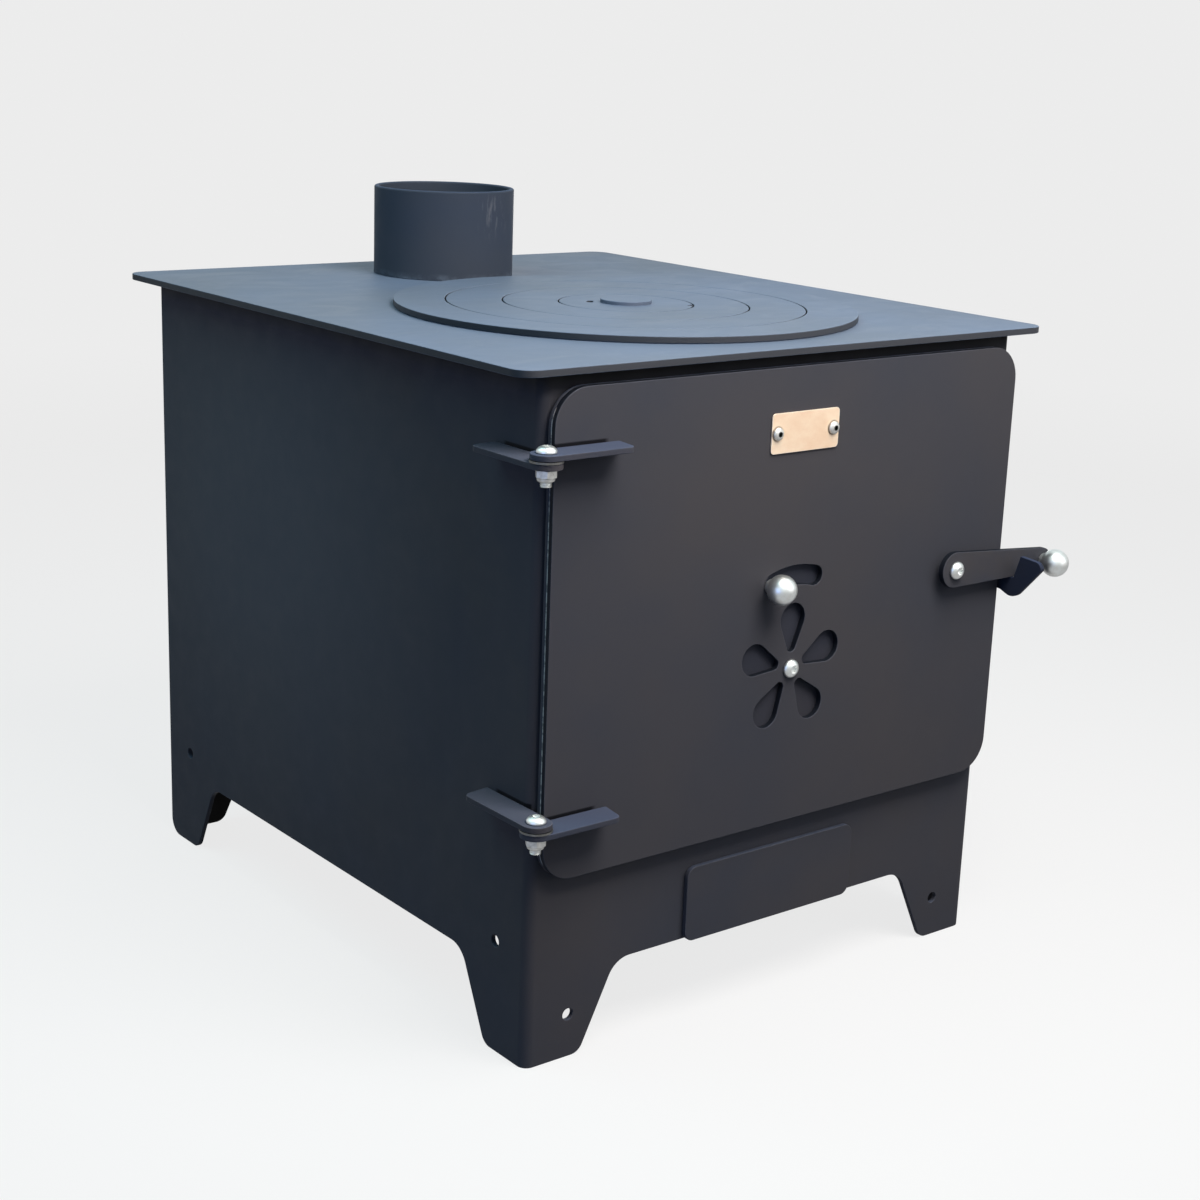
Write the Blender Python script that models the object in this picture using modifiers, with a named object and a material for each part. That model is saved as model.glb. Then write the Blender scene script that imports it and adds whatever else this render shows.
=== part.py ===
"""Box cookstove of folded steel sheet: ring hob, flue collar, ash drawer, and a hinged door
with an air rosette and a drop latch.

Everything is in metres. X runs to the right, Y to the back and Z up; the door faces -Y.
The origin is on the floor, under the middle of the stove's overall box. Inside the script a
place is measured from the casing's front left corner on the floor, and at() moves it there.
"""
from math import acos, atan2, cos, pi, radians, sin, sqrt, tan

import bmesh
import bpy
from mathutils import Vector

GAP = 0.0003                 # between pieces that touch
WELD = 0.000001              # merge distance for points that coincide
SMALLEST_R = 0.001           # least radius of a corner that follows a smaller outline

# Hob: three rings and a lid, each on a ledge of the one outside it
LID_R = 0.0525               # lid's centre to the middle of the seam round it
INNER_RING_WIDTH = 0.0435    # from seam to seam
MIDDLE_RING_WIDTH = 0.044
OUTER_RING_WIDTH = 0.040
RING_THICK = 0.005
RING_PLAY = 0.0005           # half of the seam between two rings
LEDGE_REACH = 0.0105         # how far a ledge stands in under the next piece
LEDGE_ROOT = 0.0185          # how far it is welded under its own ring
LEDGE_THICK = 0.003
BOSS_R = 0.020
BOSS_HEIGHT = 0.003
LIFTER_AT = 0.028            # lid's centre to the lifter slot's centre
LIFTER_ANGLE = radians(140)
LIFTER_R = 0.0025
LIFTER_LENGTH = 0.007        # between the centres of the slot's two round ends
NOTCH_R = 0.004              # lifter notch in the lid's rim, opposite the slot

# Top plate and flue collar
TOP_THICK = 0.005
TOP_SIDE = 0.025             # overhang past the side walls
TOP_END = 0.013              # overhang past the front and back
TOP_CORNER_R = 0.015
HOB_PLAY = 0.001             # between the outer ring's ledge and its hole
HOB_SIDE = 0.045             # side wall to the hob
HOB_FRONT = 0.017            # front wall to the hob
FLUE_GAP = 0.015             # hob to the collar
FLUE_BACK = 0.028            # collar to the back wall
FLUE_R = 0.060
FLUE_WALL = 0.004
FLUE_HEIGHT = 0.074
FLUE_RIM_R = 0.0012          # rounding of the rim's two edges

# Casing
COOK_HEIGHT = 0.500          # floor to the top plate's upper face
SHEET = 0.004
BEND_INNER_R = 0.004         # inside of the two folded front corners
APRON_HEIGHT = 0.065         # floor to the casing's lower edge between the legs
FOOT_WIDTH = 0.049
LEG_FLARE = 0.031            # how much wider a leg is where it meets the apron
FOOT_FILLET = 0.011
APRON_FILLET = 0.020
LEG_HOLE_R = 0.0045
LEG_HOLE_INSET = 0.038
SIDE_HOLE_RISE = 0.020       # above the apron's edge
FRONT_HOLE_HEIGHT = 0.033

# Ash drawer, firebox floor and grate
TRAY_WIDTH = 0.148
TRAY_LENGTH = 0.330
TRAY_HEIGHT = 0.042
TRAY_RISE = 0.0055           # apron's edge to the tray's bottom
TRAY_SHEET = 0.0015
TRAY_PLAY = 0.0015           # round the tray in the casing's notch
DRAWER_THICK = 0.004
DRAWER_LAP = 0.008           # over the notch's sides and top
DRAWER_DROP = 0.0015         # below the apron's edge
DRAWER_R = 0.008
GUIDE_SHEET = 0.002
GUIDE_FLANGE = 0.012
GUIDE_PLAY = 0.0005          # between the tray's side and a guide
GUIDE_PAST = 0.015           # past the tray's back end
FLOOR_RISE = 0.004           # notch's top to the firebox floor's underside
FLOOR_THICK = 0.004
ASH_LAP = 0.004              # tray's side to the edge of the hole above it
ASH_FRONT = 0.040            # tray's front to the hole
ASH_BACK = 0.020             # tray's back end to the hole
GRATE_SEAT = 0.015           # how far the grate lies over the floor
GRATE_THICK = 0.005
GRATE_SLOTS = 7
GRATE_SLOT_R = 0.005
GRATE_R = 0.006

# Door
DOOR_MARGIN = 0.0035         # side wall's outer face to the door's edge
DOOR_DROP = 0.0085           # top plate's underside to the door's top edge
DOOR_RISE = 0.0215           # firebox floor to the door's lower edge
DOOR_R = 0.026
DOOR_THICK = 0.005
ROPE_THICK = 0.005
ROPE_WIDTH = 0.010
STRIP_WIDTH = 0.004
STRIP_DEPTH = 0.0025
MOUTH_EDGE = 0.0074          # innermost seal strip to the edge of the mouth behind it
MOUTH_R = 0.012
PLATE_WIDTH = 0.065
PLATE_HEIGHT = 0.029
PLATE_THICK = 0.001
PLATE_R = 0.003
PLATE_DROP = 0.0465          # door's top edge to the nameplate's centre
PLATE_SCREW_INSET = 0.0055   # nameplate's end to a screw

# Hinges
LEAF_WIDTH = 0.022
LEAF_THICK = 0.004
BODY_LEAF_REACH = 0.073      # from the axis to the leaf's tip
DOOR_LEAF_REACH = 0.068
LEAF_TIP_R = 0.006
LEAF_TIP_CUT = 0.003         # how much shorter the free corner of a tip is
WASHER_R = 0.0115
WASHER_THICK = 0.0014
UPPER_HINGE_DROP = 0.0382    # door's top edge to the upper hinge's top
LOWER_HINGE_RISE = 0.0534    # door's lower edge to the lower hinge's top

# Air rosette
ROSETTE_RISE = 0.1198        # door's lower edge to the rosette's centre
PETALS = 5
PETAL_TIP = 0.0495           # rosette's centre to a petal's outer end
PETAL_ROOT = 0.0125          # rosette's centre to a petal's inner end
PETAL_TIP_R = 0.012
PETAL_ROOT_R = 0.0042
DISC_TIP_R = 0.0085           # of the disc's own petals, which the land between covers when shut
SLOT_MARGIN = 0.0135         # petal's outer end to the knob slot
SLOT_R = 0.0075
STUD_PLAY = 0.0013           # left round the stud at either end of the slot
DISC_LAP = 0.0025            # of the disc past the slot
DISC_THICK = 0.002
AIR_OVERRUN = radians(4)     # how far past half a petal's pitch the disc turns
SLOT_LEAN = radians(1)       # of the knob slot's middle, to the left of upright

# Knobs
BALL_R = 0.011
NECK_R = 0.0055
NECK_HEIGHT = 0.003
BORE_DEPTH = 0.009
STUD_R = 0.0025
STUD_SHORT = 0.0005          # between a stud's end and its bore's
AIR_BALL_PLAY = 0.0008       # between the air knob and the door

# Latch and catch
LATCH_FROM_EDGE = 0.0615     # door's right edge to the latch's pivot
LATCH_RISE = 0.175           # door's lower edge to the pivot
LATCH_PIVOT_R = 0.014        # half the bar's height at the pivot
LATCH_TIP_R = 0.0095
LATCH_THICK = 0.005
LATCH_STANDOFF = 0.005       # door's face to the bar's back
SPACER_WALL = 0.0027
BALL_ROOM = 0.0207           # between the catch and the latch's ball
CATCH_THICK = 0.004
CATCH_PLAY = 0.001           # behind the bar in the catch's notch
CATCH_MOUTH = 0.0019         # in front of the bar at the notch's floor
CATCH_RETURN = 0.030         # how far the catch runs back along the side wall
CATCH_ABOVE = 0.012          # catch's top above the notch's floor
CATCH_BELOW = 0.008          # its lower edge on the wall, below the notch's floor
CATCH_THROAT = 0.0175        # its depth under the notch
CATCH_BEND_BACK = 0.0046     # behind the notch, where its lower edge turns down
CATCH_BEND_BELOW = 0.012
THROAT_FORWARD = 0.0015      # deepest point in front of the notch
NOTCH_FLARE = 0.0055         # how much wider the notch is at the nose's top
NOSE_REACH = 0.0297          # bar's face to the nose's tip
NOSE_RISE = 0.0185           # nose's top above the notch's floor
NOSE_TIP_DROP = 0.0063       # nose's tip below its top
NOSE_TIP_HEIGHT = 0.005
NOSE_TIP_SLOPE = 0.0038
CATCH_CORNER_R = 0.004
CATCH_BEND_R = 0.008
CATCH_THROAT_R = 0.012
NOSE_TIP_R = 0.0025
NOSE_TOP_R = 0.005
NOTCH_EDGE_R = 0.0015

# Fasteners: shank radius, head radius, head height and key size across flats
M8 = (0.0040, 0.0070, 0.0044, 0.0050)
M5 = (0.0025, 0.00475, 0.00275, 0.0030)
HEAD_EDGE = 0.0006           # straight side of a button head under its dome
CROWN_ANGLE = radians(60)    # of the dome that shows round the flat top
SHANK_CHAMFER = 0.0006
SOCKET_SHARE = 0.6           # of a head's height
# Locking nut: bolt radius, size across flats, height of the hexagon and of the whole nut
NUT8 = (0.0040, 0.013, 0.0060, 0.0080)
COLLAR_SHARE = 0.92          # a nut's collar against its size across flats
HINGE_BOLT_END = 0.0039      # bolt's end past its nut
SCREW_END = 0.0015
PLATE_SCREW_END = 0.0005     # nameplate screw's end past the door

# Segments round a full circle, and straight pieces in a corner
FINE = 64
MEDIUM = 40
SMALL = 20
TINY = 14
CORNER_STEPS = 4
WIDE_STEPS = 7
CROWN_STEPS = 3
BALL_STEPS = 11
RUN_ON = 3                   # chords that an arch's ends run on below the floor

# Colour, roughness and metallic value
PAINT = ((0.040, 0.042, 0.048), 0.55, 0.0)
HOB_PAINT = ((0.085, 0.100, 0.125), 0.45, 0.0)
STAINLESS = ((0.60, 0.61, 0.60), 0.25, 1.0)
BRASS = ((0.80, 0.66, 0.50), 0.35, 1.0)
ROPE = ((0.030, 0.030, 0.032), 0.95, 0.0)
BARE_STEEL = ((0.09, 0.085, 0.08), 0.60, 0.6)
SHARP_ANGLE = radians(32)

# Sizes that follow from the ones above
RING_INNER_R = LID_R + INNER_RING_WIDTH
RING_MIDDLE_R = RING_INNER_R + MIDDLE_RING_WIDTH
RING_OUTER_R = RING_MIDDLE_R + OUTER_RING_WIDTH
HOB_HOLE_R = RING_MIDDLE_R + RING_PLAY + LEDGE_ROOT + HOB_PLAY
BODY_WIDTH = 2 * (RING_OUTER_R + HOB_SIDE)
BODY_DEPTH = HOB_FRONT + 2 * RING_OUTER_R + FLUE_GAP + 2 * FLUE_R + FLUE_BACK
CENTRE_X = BODY_WIDTH / 2
HOB_Y = HOB_FRONT + RING_OUTER_R
FLUE_Y = BODY_DEPTH - FLUE_BACK - FLUE_R
CASING_TOP = COOK_HEIGHT - TOP_THICK - GAP
LEG_WIDTH = FOOT_WIDTH + LEG_FLARE
TRAY_LOW = APRON_HEIGHT + TRAY_RISE
NOTCH_TOP = TRAY_LOW + TRAY_HEIGHT + TRAY_PLAY
NOTCH_HALF = TRAY_WIDTH / 2 + TRAY_PLAY
FLOOR_LOW = NOTCH_TOP + FLOOR_RISE
FLOOR_TOP = FLOOR_LOW + FLOOR_THICK
ASH_HALF = TRAY_WIDTH / 2 - ASH_LAP
ASH_END = TRAY_LENGTH - ASH_BACK
DOOR_HIGH = COOK_HEIGHT - TOP_THICK - DOOR_DROP
DOOR_LOW = FLOOR_TOP + DOOR_RISE
ROPE_INSET = STRIP_WIDTH + GAP
INNER_STRIP_INSET = ROPE_INSET + ROPE_WIDTH + GAP
MOUTH_LAP = INNER_STRIP_INSET + STRIP_WIDTH + MOUTH_EDGE
ROPE_FRONT = GAP + ROPE_THICK            # these five are in front of the casing
DOOR_BACK = ROPE_FRONT + GAP
DOOR_FACE = DOOR_BACK + DOOR_THICK
LATCH_BACK = DOOR_FACE + LATCH_STANDOFF
LATCH_FACE = LATCH_BACK + LATCH_THICK
HINGE_X = -GAP - LEAF_WIDTH / 2
HINGE_Y = -DOOR_FACE - GAP - LEAF_WIDTH / 2
SLOT_AT = PETAL_TIP + SLOT_MARGIN + SLOT_R
DISC_R = SLOT_AT + SLOT_R + DISC_LAP
AIR_TURN = pi / PETALS + AIR_OVERRUN     # from closed to open
BALL_LEAN = AIR_TURN / 2 + SLOT_LEAN     # air ball to the left of upright at rest
SLOT_HALF = AIR_TURN / 2 - (SLOT_R - STUD_R - STUD_PLAY) / SLOT_AT
ROSETTE_HEIGHT = DOOR_LOW + ROSETTE_RISE
PLATE_AT_HEIGHT = DOOR_HIGH - PLATE_DROP
BALL_RISE = NECK_HEIGHT + sqrt(BALL_R**2 - NECK_R**2)
LATCH_X = BODY_WIDTH - DOOR_MARGIN - LATCH_FROM_EDGE
LATCH_HEIGHT = DOOR_LOW + LATCH_RISE
CATCH_X = BODY_WIDTH + GAP
LATCH_REACH = CATCH_X + CATCH_THICK + BALL_ROOM + BALL_R - LATCH_X
LATCH_KNOB_DROP = LATCH_PIVOT_R - LATCH_TIP_R
CATCH_FLOOR = LATCH_HEIGHT - LATCH_PIVOT_R - GAP


# Outlines: closed lists of points (u, v) in the plane of a flat piece

def arc(centre, radius, start, stop, steps):
    """Points on an arc, from one angle to another in radians."""
    angles = [start + (stop - start) * i / steps for i in range(steps + 1)]
    return [(centre[0] + radius * cos(a), centre[1] + radius * sin(a)) for a in angles]


def circle(centre, radius, segments=SMALL):
    """A closed ring of points."""
    return arc(centre, radius, 0, 2 * pi, segments)[:-1]


def rounded(corners, steps=CORNER_STEPS):
    """An outline through corners (u, v, radius), each corner rounded to its radius."""
    points = []
    for i, (u, v, radius) in enumerate(corners):
        here = Vector((u, v))
        back = (Vector(corners[i - 1][:2]) - here).normalized()
        ahead = (Vector(corners[(i + 1) % len(corners)][:2]) - here).normalized()
        if radius == 0:
            points.append((u, v))
            continue
        half = back.angle(ahead) / 2
        centre = here + (back + ahead).normalized() * (radius / sin(half))
        first = here + back * (radius / tan(half)) - centre
        last = here + ahead * (radius / tan(half)) - centre
        start = atan2(first.y, first.x)
        turn = (atan2(last.y, last.x) - start + pi) % (2 * pi) - pi
        points += arc(centre, radius, start, start + turn, steps)
    return points


def rectangle(left, right, low, high, radius=0.0, steps=CORNER_STEPS):
    """A rectangle with four like corners."""
    corners = [(left, low), (right, low), (right, high), (left, high)]
    return rounded([(u, v, radius) for u, v in corners], steps)


def belt(first, first_r, second, second_r, steps=8):
    """The outline that a belt makes round two circles."""
    along = Vector(second) - Vector(first)
    heading = atan2(along.y, along.x)
    lean = acos((first_r - second_r) / along.length)
    far = arc(first, first_r, heading + lean, heading + 2 * pi - lean, steps)
    near = arc(second, second_r, heading - lean, heading + lean, steps)
    return far + near


def turned_by(points, angle):
    """An outline turned about its zero point."""
    return [(u * cos(angle) - v * sin(angle), u * sin(angle) + v * cos(angle)) for u, v in points]


def moved_by(points, u0, v0):
    """An outline moved in its plane."""
    return [(u + u0, v + v0) for u, v in points]


def arc_slot(middle, half, radius, end_r, steps=8):
    """A curved slot about the zero point, with round ends."""
    low, high = middle - half, middle + half
    outer = arc((0, 0), radius + end_r, low, high, steps)
    left = arc((radius * cos(high), radius * sin(high)), end_r, high, high + pi, steps)
    inner = arc((0, 0), radius - end_r, high, low, steps)
    right = arc((radius * cos(low), radius * sin(low)), end_r, low + pi, low + 2 * pi, steps)
    return outer + left[1:-1] + inner + right[1:-1]


def petals(turn, tip_r):
    """The rosette's petal holes; the first points up when turn is nothing."""
    petal = belt((0, PETAL_ROOT + PETAL_ROOT_R), PETAL_ROOT_R, (0, PETAL_TIP - PETAL_TIP_R), tip_r)
    return [turned_by(petal, turn + 2 * pi * i / PETALS) for i in range(PETALS)]


def leg_corners(near, far, between=()):
    """The lower edge of a wall from the foot at near to the foot at far."""
    return [
        (near + FOOT_WIDTH, 0, FOOT_FILLET),
        (near + LEG_WIDTH, APRON_HEIGHT, APRON_FILLET),
        *between,
        (far - LEG_WIDTH, APRON_HEIGHT, APRON_FILLET),
        (far - FOOT_WIDTH, 0, FOOT_FILLET),
    ]


def arch(near, far, between=()):
    """The opening between two legs; its first and last chords run on below the floor."""
    edge = rounded([(near, 0, 0), *leg_corners(near, far, between), (far, 0, 0)])[2:-2]
    first, second = Vector(edge[0]), Vector(edge[1])
    start = first + RUN_ON * (first - second)
    return [tuple(start)] + edge + [(near + far - start.x, start.y)]


def door_outline(inset):
    """The door's edge, or a line that runs inside it."""
    left, right = DOOR_MARGIN + inset, BODY_WIDTH - DOOR_MARGIN - inset
    radius = max(DOOR_R - inset, SMALLEST_R)
    return rectangle(left, right, DOOR_LOW + inset, DOOR_HIGH - inset, radius, WIDE_STEPS)


def leaf_outline(reach):
    """A hinge leaf from its axis along u; v points to the side that is welded on."""
    half = LEAF_WIDTH / 2
    end = arc((0, 0), half, pi / 2, 3 * pi / 2, 10)
    tip = rounded([
        (0, -half, 0),
        (reach - LEAF_TIP_CUT, -half, LEAF_TIP_R),
        (reach, half, SMALLEST_R),
        (0, half, 0),
    ])
    return end + tip[1:-1]


def catch_outline():
    """The catch plate seen from the right, in Y and height: wall part, throat, nose and notch."""
    back = -LATCH_BACK + CATCH_PLAY
    mouth = -LATCH_FACE - CATCH_MOUTH
    tip = -LATCH_FACE - NOSE_REACH
    tip_low = NOSE_RISE - NOSE_TIP_DROP
    return moved_by(rounded([
        (CATCH_RETURN, -CATCH_BELOW, CATCH_CORNER_R),
        (back + CATCH_BEND_BACK, -CATCH_BEND_BELOW, CATCH_BEND_R),
        (mouth - THROAT_FORWARD, -CATCH_THROAT, CATCH_THROAT_R),
        (tip, tip_low, NOSE_TIP_R),
        (tip + NOSE_TIP_SLOPE, tip_low + NOSE_TIP_HEIGHT, NOSE_TOP_R),
        (mouth - NOTCH_FLARE, NOSE_RISE, NOTCH_EDGE_R),
        (mouth, 0, NOTCH_EDGE_R),
        (back, 0, NOTCH_EDGE_R),
        (back, CATCH_ABOVE, CATCH_CORNER_R),
        (CATCH_RETURN, CATCH_ABOVE, CATCH_CORNER_R),
    ]), 0, CATCH_FLOOR)


# Where the casing's front left corner lies in the part's frame
REACH_LEFT = max(TOP_SIDE, LEAF_WIDTH / 2 - HINGE_X)
REACH_RIGHT = LATCH_X + LATCH_REACH + BALL_R
REACH_FRONT = -min(point[0] for point in catch_outline())
REACH_BACK = BODY_DEPTH + TOP_END
LEFT = (REACH_LEFT - REACH_RIGHT) / 2
FRONT = (REACH_FRONT - REACH_BACK) / 2


# Objects. A place is on a piece's lower or back face, and the piece grows from there towards
# its facing: up, to the front or to the right side.
TURN = {"up": (0, 0, 0), "front": (pi / 2, 0, 0), "side": (pi / 2, 0, pi / 2)}
OUTWARD = {"up": Vector((0, 0, 1)), "front": Vector((0, -1, 0)), "side": Vector((1, 0, 0))}


def collection(name):
    """The scene's collection of this name, made once."""
    found = bpy.data.collections.get(name) or bpy.data.collections.new(name)
    if name not in bpy.context.scene.collection.children:
        bpy.context.scene.collection.children.link(found)
    return found


def clear():
    """Empties the scene."""
    for old in list(bpy.data.objects):
        bpy.data.objects.remove(old, do_unlink=True)


def at(place):
    """A place in the part's frame, from one measured at the casing's corner."""
    return Vector(place) + Vector((LEFT, FRONT, 0))


def along(place, facing, distance):
    """A place moved outwards."""
    return tuple(Vector(place) + OUTWARD[facing] * distance)


def material(name, finish):
    """A piece's own material."""
    colour, roughness, metallic = finish
    made = bpy.data.materials.new(name)
    made.use_nodes = True
    shader = made.node_tree.nodes["Principled BSDF"]
    shader.inputs["Base Color"].default_value = (*colour, 1)
    shader.inputs["Roughness"].default_value = roughness
    shader.inputs["Metallic"].default_value = metallic
    return made


def shade(mesh):
    """Smooth on round stretches, sharp at edges."""
    mesh.shade_smooth()
    mesh.set_sharp_from_angle(angle=SHARP_ANGLE)


def add(name, mesh, finish, place, facing):
    """An object for a mesh: a piece if it has a finish, or else a cutter."""
    obj = bpy.data.objects.new(name, mesh)
    obj.location = at(place)
    obj.rotation_euler = TURN[facing]
    if finish is None:
        collection("cutters").objects.link(obj)
        obj.hide_render = True
        obj.display_type = "WIRE"
    else:
        collection("cookstove").objects.link(obj)
        mesh.materials.append(material(name, finish))
    return obj


def evaluated_mesh(obj):
    """An object's mesh with its modifiers or its curve's thickness applied."""
    graph = bpy.context.evaluated_depsgraph_get()
    graph.update()
    return bpy.data.meshes.new_from_object(obj.evaluated_get(graph))


def flat(name, finish, outlines, thick, place, facing):
    """A flat piece: an outline with holes, given a thickness."""
    curve = bpy.data.curves.new(name, "CURVE")
    curve.dimensions = "2D"
    curve.fill_mode = "BOTH"
    curve.extrude = thick / 2
    for outline in outlines:
        spline = curve.splines.new("POLY")
        spline.points.add(len(outline) - 1)
        for point, (u, v) in zip(spline.points, outline):
            point.co = (u, v, 0, 1)
        spline.use_cyclic_u = True
    drawn = bpy.data.objects.new(name + "_outline", curve)
    bpy.context.scene.collection.objects.link(drawn)
    mesh = evaluated_mesh(drawn)
    bpy.data.objects.remove(drawn, do_unlink=True)
    form = bmesh.new()
    form.from_mesh(mesh)
    bmesh.ops.remove_doubles(form, verts=form.verts, dist=WELD)
    bmesh.ops.recalc_face_normals(form, faces=form.faces)
    form.to_mesh(mesh)
    form.free()
    mesh.name = name
    shade(mesh)
    return add(name, mesh, finish, along(place, facing, thick / 2), facing)


def turned(name, finish, profile, place, facing, segments=MEDIUM, closed=False):
    """A turned piece: a profile (radius, height) swept round, its outer side running down."""
    form = bmesh.new()
    points = [form.verts.new((radius, 0, height)) for radius, height in profile]
    for first, second in zip(points, points[1:] + points[:1] * closed):
        form.edges.new((first, second))
    mesh = bpy.data.meshes.new(name)
    form.to_mesh(mesh)
    form.free()
    obj = add(name, mesh, finish, place, facing)
    spin = obj.modifiers.new("Turning", "SCREW")
    spin.steps = segments
    spin.render_steps = segments
    spin.use_merge_vertices = True
    spin.merge_threshold = WELD
    solid = evaluated_mesh(obj)
    obj.modifiers.clear()
    obj.data = solid
    bpy.data.meshes.remove(mesh)
    solid.name = name
    shade(solid)
    return obj


def rod(name, finish, radius, length, place, facing, segments=SMALL):
    """A plain cylinder, or a prism with few segments."""
    form = bmesh.new()
    bmesh.ops.create_cone(
        form, cap_ends=True, segments=segments, radius1=radius, radius2=radius, depth=length
    )
    mesh = bpy.data.meshes.new(name)
    form.to_mesh(mesh)
    form.free()
    shade(mesh)
    return add(name, mesh, finish, along(place, facing, length / 2), facing)


def carry(parent, pieces):
    """Parents objects to an object or empty, where they stand."""
    bpy.context.view_layer.update()
    for piece in pieces:
        piece.parent = parent
        piece.matrix_parent_inverse = parent.matrix_world.inverted()


def combine(piece, other, operation="DIFFERENCE"):
    """A live Boolean; the other shape goes with the piece."""
    change = piece.modifiers.new(other.name, "BOOLEAN")
    change.operation = operation
    change.solver = "EXACT"
    change.object = other
    carry(piece, [other])


def pivot(name, place, parent=None):
    """An empty on a joint's axis."""
    empty = bpy.data.objects.new(name, None)
    empty.empty_display_size = 0.03
    empty.location = at(place)
    collection("cookstove").objects.link(empty)
    if parent:
        carry(parent, [empty])
    return empty


# Fasteners and knobs

def screw(name, size, grip, seat, facing):
    """A button head screw: seat is under its head, and grip is its length below that."""
    shank_r, head_r, head_height, key = size
    dome = head_height - HEAD_EDGE
    angles = [CROWN_ANGLE * (1 - i / CROWN_STEPS) for i in range(CROWN_STEPS + 1)]
    crown = [(head_r * cos(a), HEAD_EDGE + dome * sin(a) / sin(angles[0])) for a in angles]
    profile = [(0, head_height), *crown, (head_r, 0), (shank_r, 0)]
    profile += [(shank_r, SHANK_CHAMFER - grip), (shank_r - SHANK_CHAMFER, -grip), (0, -grip)]
    piece = turned(name, STAINLESS, profile, seat, facing, SMALL)
    depth = head_height * SOCKET_SHARE
    base = along(seat, facing, head_height - depth)
    combine(piece, rod("socket_" + name, None, key / 2 / cos(pi / 6), 2 * depth, base, facing, 6))
    return piece


def nut(name, size, seat, facing):
    """A locking nut under a seat: a hexagon, a round collar away from the seat, and a bore."""
    bolt_r, flats, hex_height, height = size
    overlap = hex_height / 4
    hex_base = along(seat, facing, -hex_height)
    end = along(seat, facing, -height)
    piece = rod(name, STAINLESS, flats / 2 / cos(pi / 6), hex_height, hex_base, facing, 6)
    collar_height = height - hex_height + overlap
    combine(piece, rod("collar_" + name, None, flats * COLLAR_SHARE / 2, collar_height, end, facing), "UNION")
    below = along(end, facing, -overlap)
    combine(piece, rod("bore_" + name, None, bolt_r + GAP, height + 2 * overlap, below, facing, TINY))
    return piece


def ball(name, seat, facing):
    """A ball knob on a short neck, with a blind bore for its stud."""
    meeting = -acos(NECK_R / BALL_R)
    surface = arc((0, BALL_RISE), BALL_R, pi / 2, meeting, BALL_STEPS)
    bore_r = STUD_R + GAP
    bore = [(NECK_R, 0), (bore_r, 0), (bore_r, BORE_DEPTH), (0, BORE_DEPTH)]
    return turned(name, STAINLESS, surface + bore, seat, facing, SMALL)


# Casing and hob

def casing_wrap():
    """The folded sheet: left side, front and right side in one piece, with its legs."""
    bend_r = BEND_INNER_R + SHEET
    inner_right = BODY_WIDTH - SHEET
    plan = rounded([
        (0, BODY_DEPTH, 0),
        (0, 0, bend_r),
        (BODY_WIDTH, 0, bend_r),
        (BODY_WIDTH, BODY_DEPTH, 0),
        (inner_right, BODY_DEPTH, 0),
        (inner_right, SHEET, BEND_INNER_R),
        (SHEET, SHEET, BEND_INNER_R),
        (SHEET, BODY_DEPTH, 0),
    ])
    wrap = flat("casing_wrap", PAINT, [plan], CASING_TOP, (0, 0, 0), "up")
    beyond = SHEET / 2
    across = BODY_WIDTH + 2 * beyond
    through = SHEET + 2 * beyond
    front_base = (0, SHEET + beyond, 0)
    notch = [
        (CENTRE_X - NOTCH_HALF, APRON_HEIGHT, 0),
        (CENTRE_X - NOTCH_HALF, NOTCH_TOP, 0),
        (CENTRE_X + NOTCH_HALF, NOTCH_TOP, 0),
        (CENTRE_X + NOTCH_HALF, APRON_HEIGHT, 0),
    ]
    mouth = rectangle(DOOR_MARGIN + MOUTH_LAP, BODY_WIDTH - DOOR_MARGIN - MOUTH_LAP,
                      DOOR_LOW + MOUTH_LAP, DOOR_HIGH - MOUTH_LAP, MOUTH_R)
    cutters = [
        flat("between_side_legs", None, [arch(0, BODY_DEPTH)], across, (-beyond, 0, 0), "side"),
        flat("between_front_legs", None, [arch(0, BODY_WIDTH, notch)], through, front_base, "front"),
        flat("door_mouth", None, [mouth], through, front_base, "front"),
    ]
    for y in (LEG_HOLE_INSET, BODY_DEPTH - LEG_HOLE_INSET):
        place = (-beyond, y, APRON_HEIGHT + SIDE_HOLE_RISE)
        cutters.append(rod("side_leg_hole", None, LEG_HOLE_R, across, place, "side"))
    for x in (LEG_HOLE_INSET, BODY_WIDTH - LEG_HOLE_INSET):
        place = (x, SHEET + beyond, FRONT_HOLE_HEIGHT)
        cutters.append(rod("front_leg_hole", None, LEG_HOLE_R, through, place, "front"))
    for cutter in cutters:
        combine(wrap, cutter)


def back_panel():
    """The back, a flat sheet with two feet of its own."""
    left = SHEET + GAP
    right = BODY_WIDTH - left
    outline = rounded([
        (left, 0, 0),
        *leg_corners(0, BODY_WIDTH),
        (right, 0, 0),
        (right, CASING_TOP, 0),
        (left, CASING_TOP, 0),
    ])
    flat("back_panel", PAINT, [outline], SHEET, (0, BODY_DEPTH, 0), "front")


def top_plate():
    """The top, with the hob's hole and the flue's."""
    outlines = [
        rectangle(-TOP_SIDE, BODY_WIDTH + TOP_SIDE, -TOP_END, BODY_DEPTH + TOP_END, TOP_CORNER_R),
        circle((CENTRE_X, HOB_Y), HOB_HOLE_R, FINE),
        circle((CENTRE_X, FLUE_Y), FLUE_R - FLUE_WALL, MEDIUM),
    ]
    flat("top_plate", HOB_PAINT, outlines, TOP_THICK, (0, 0, COOK_HEIGHT - TOP_THICK), "up")


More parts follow.
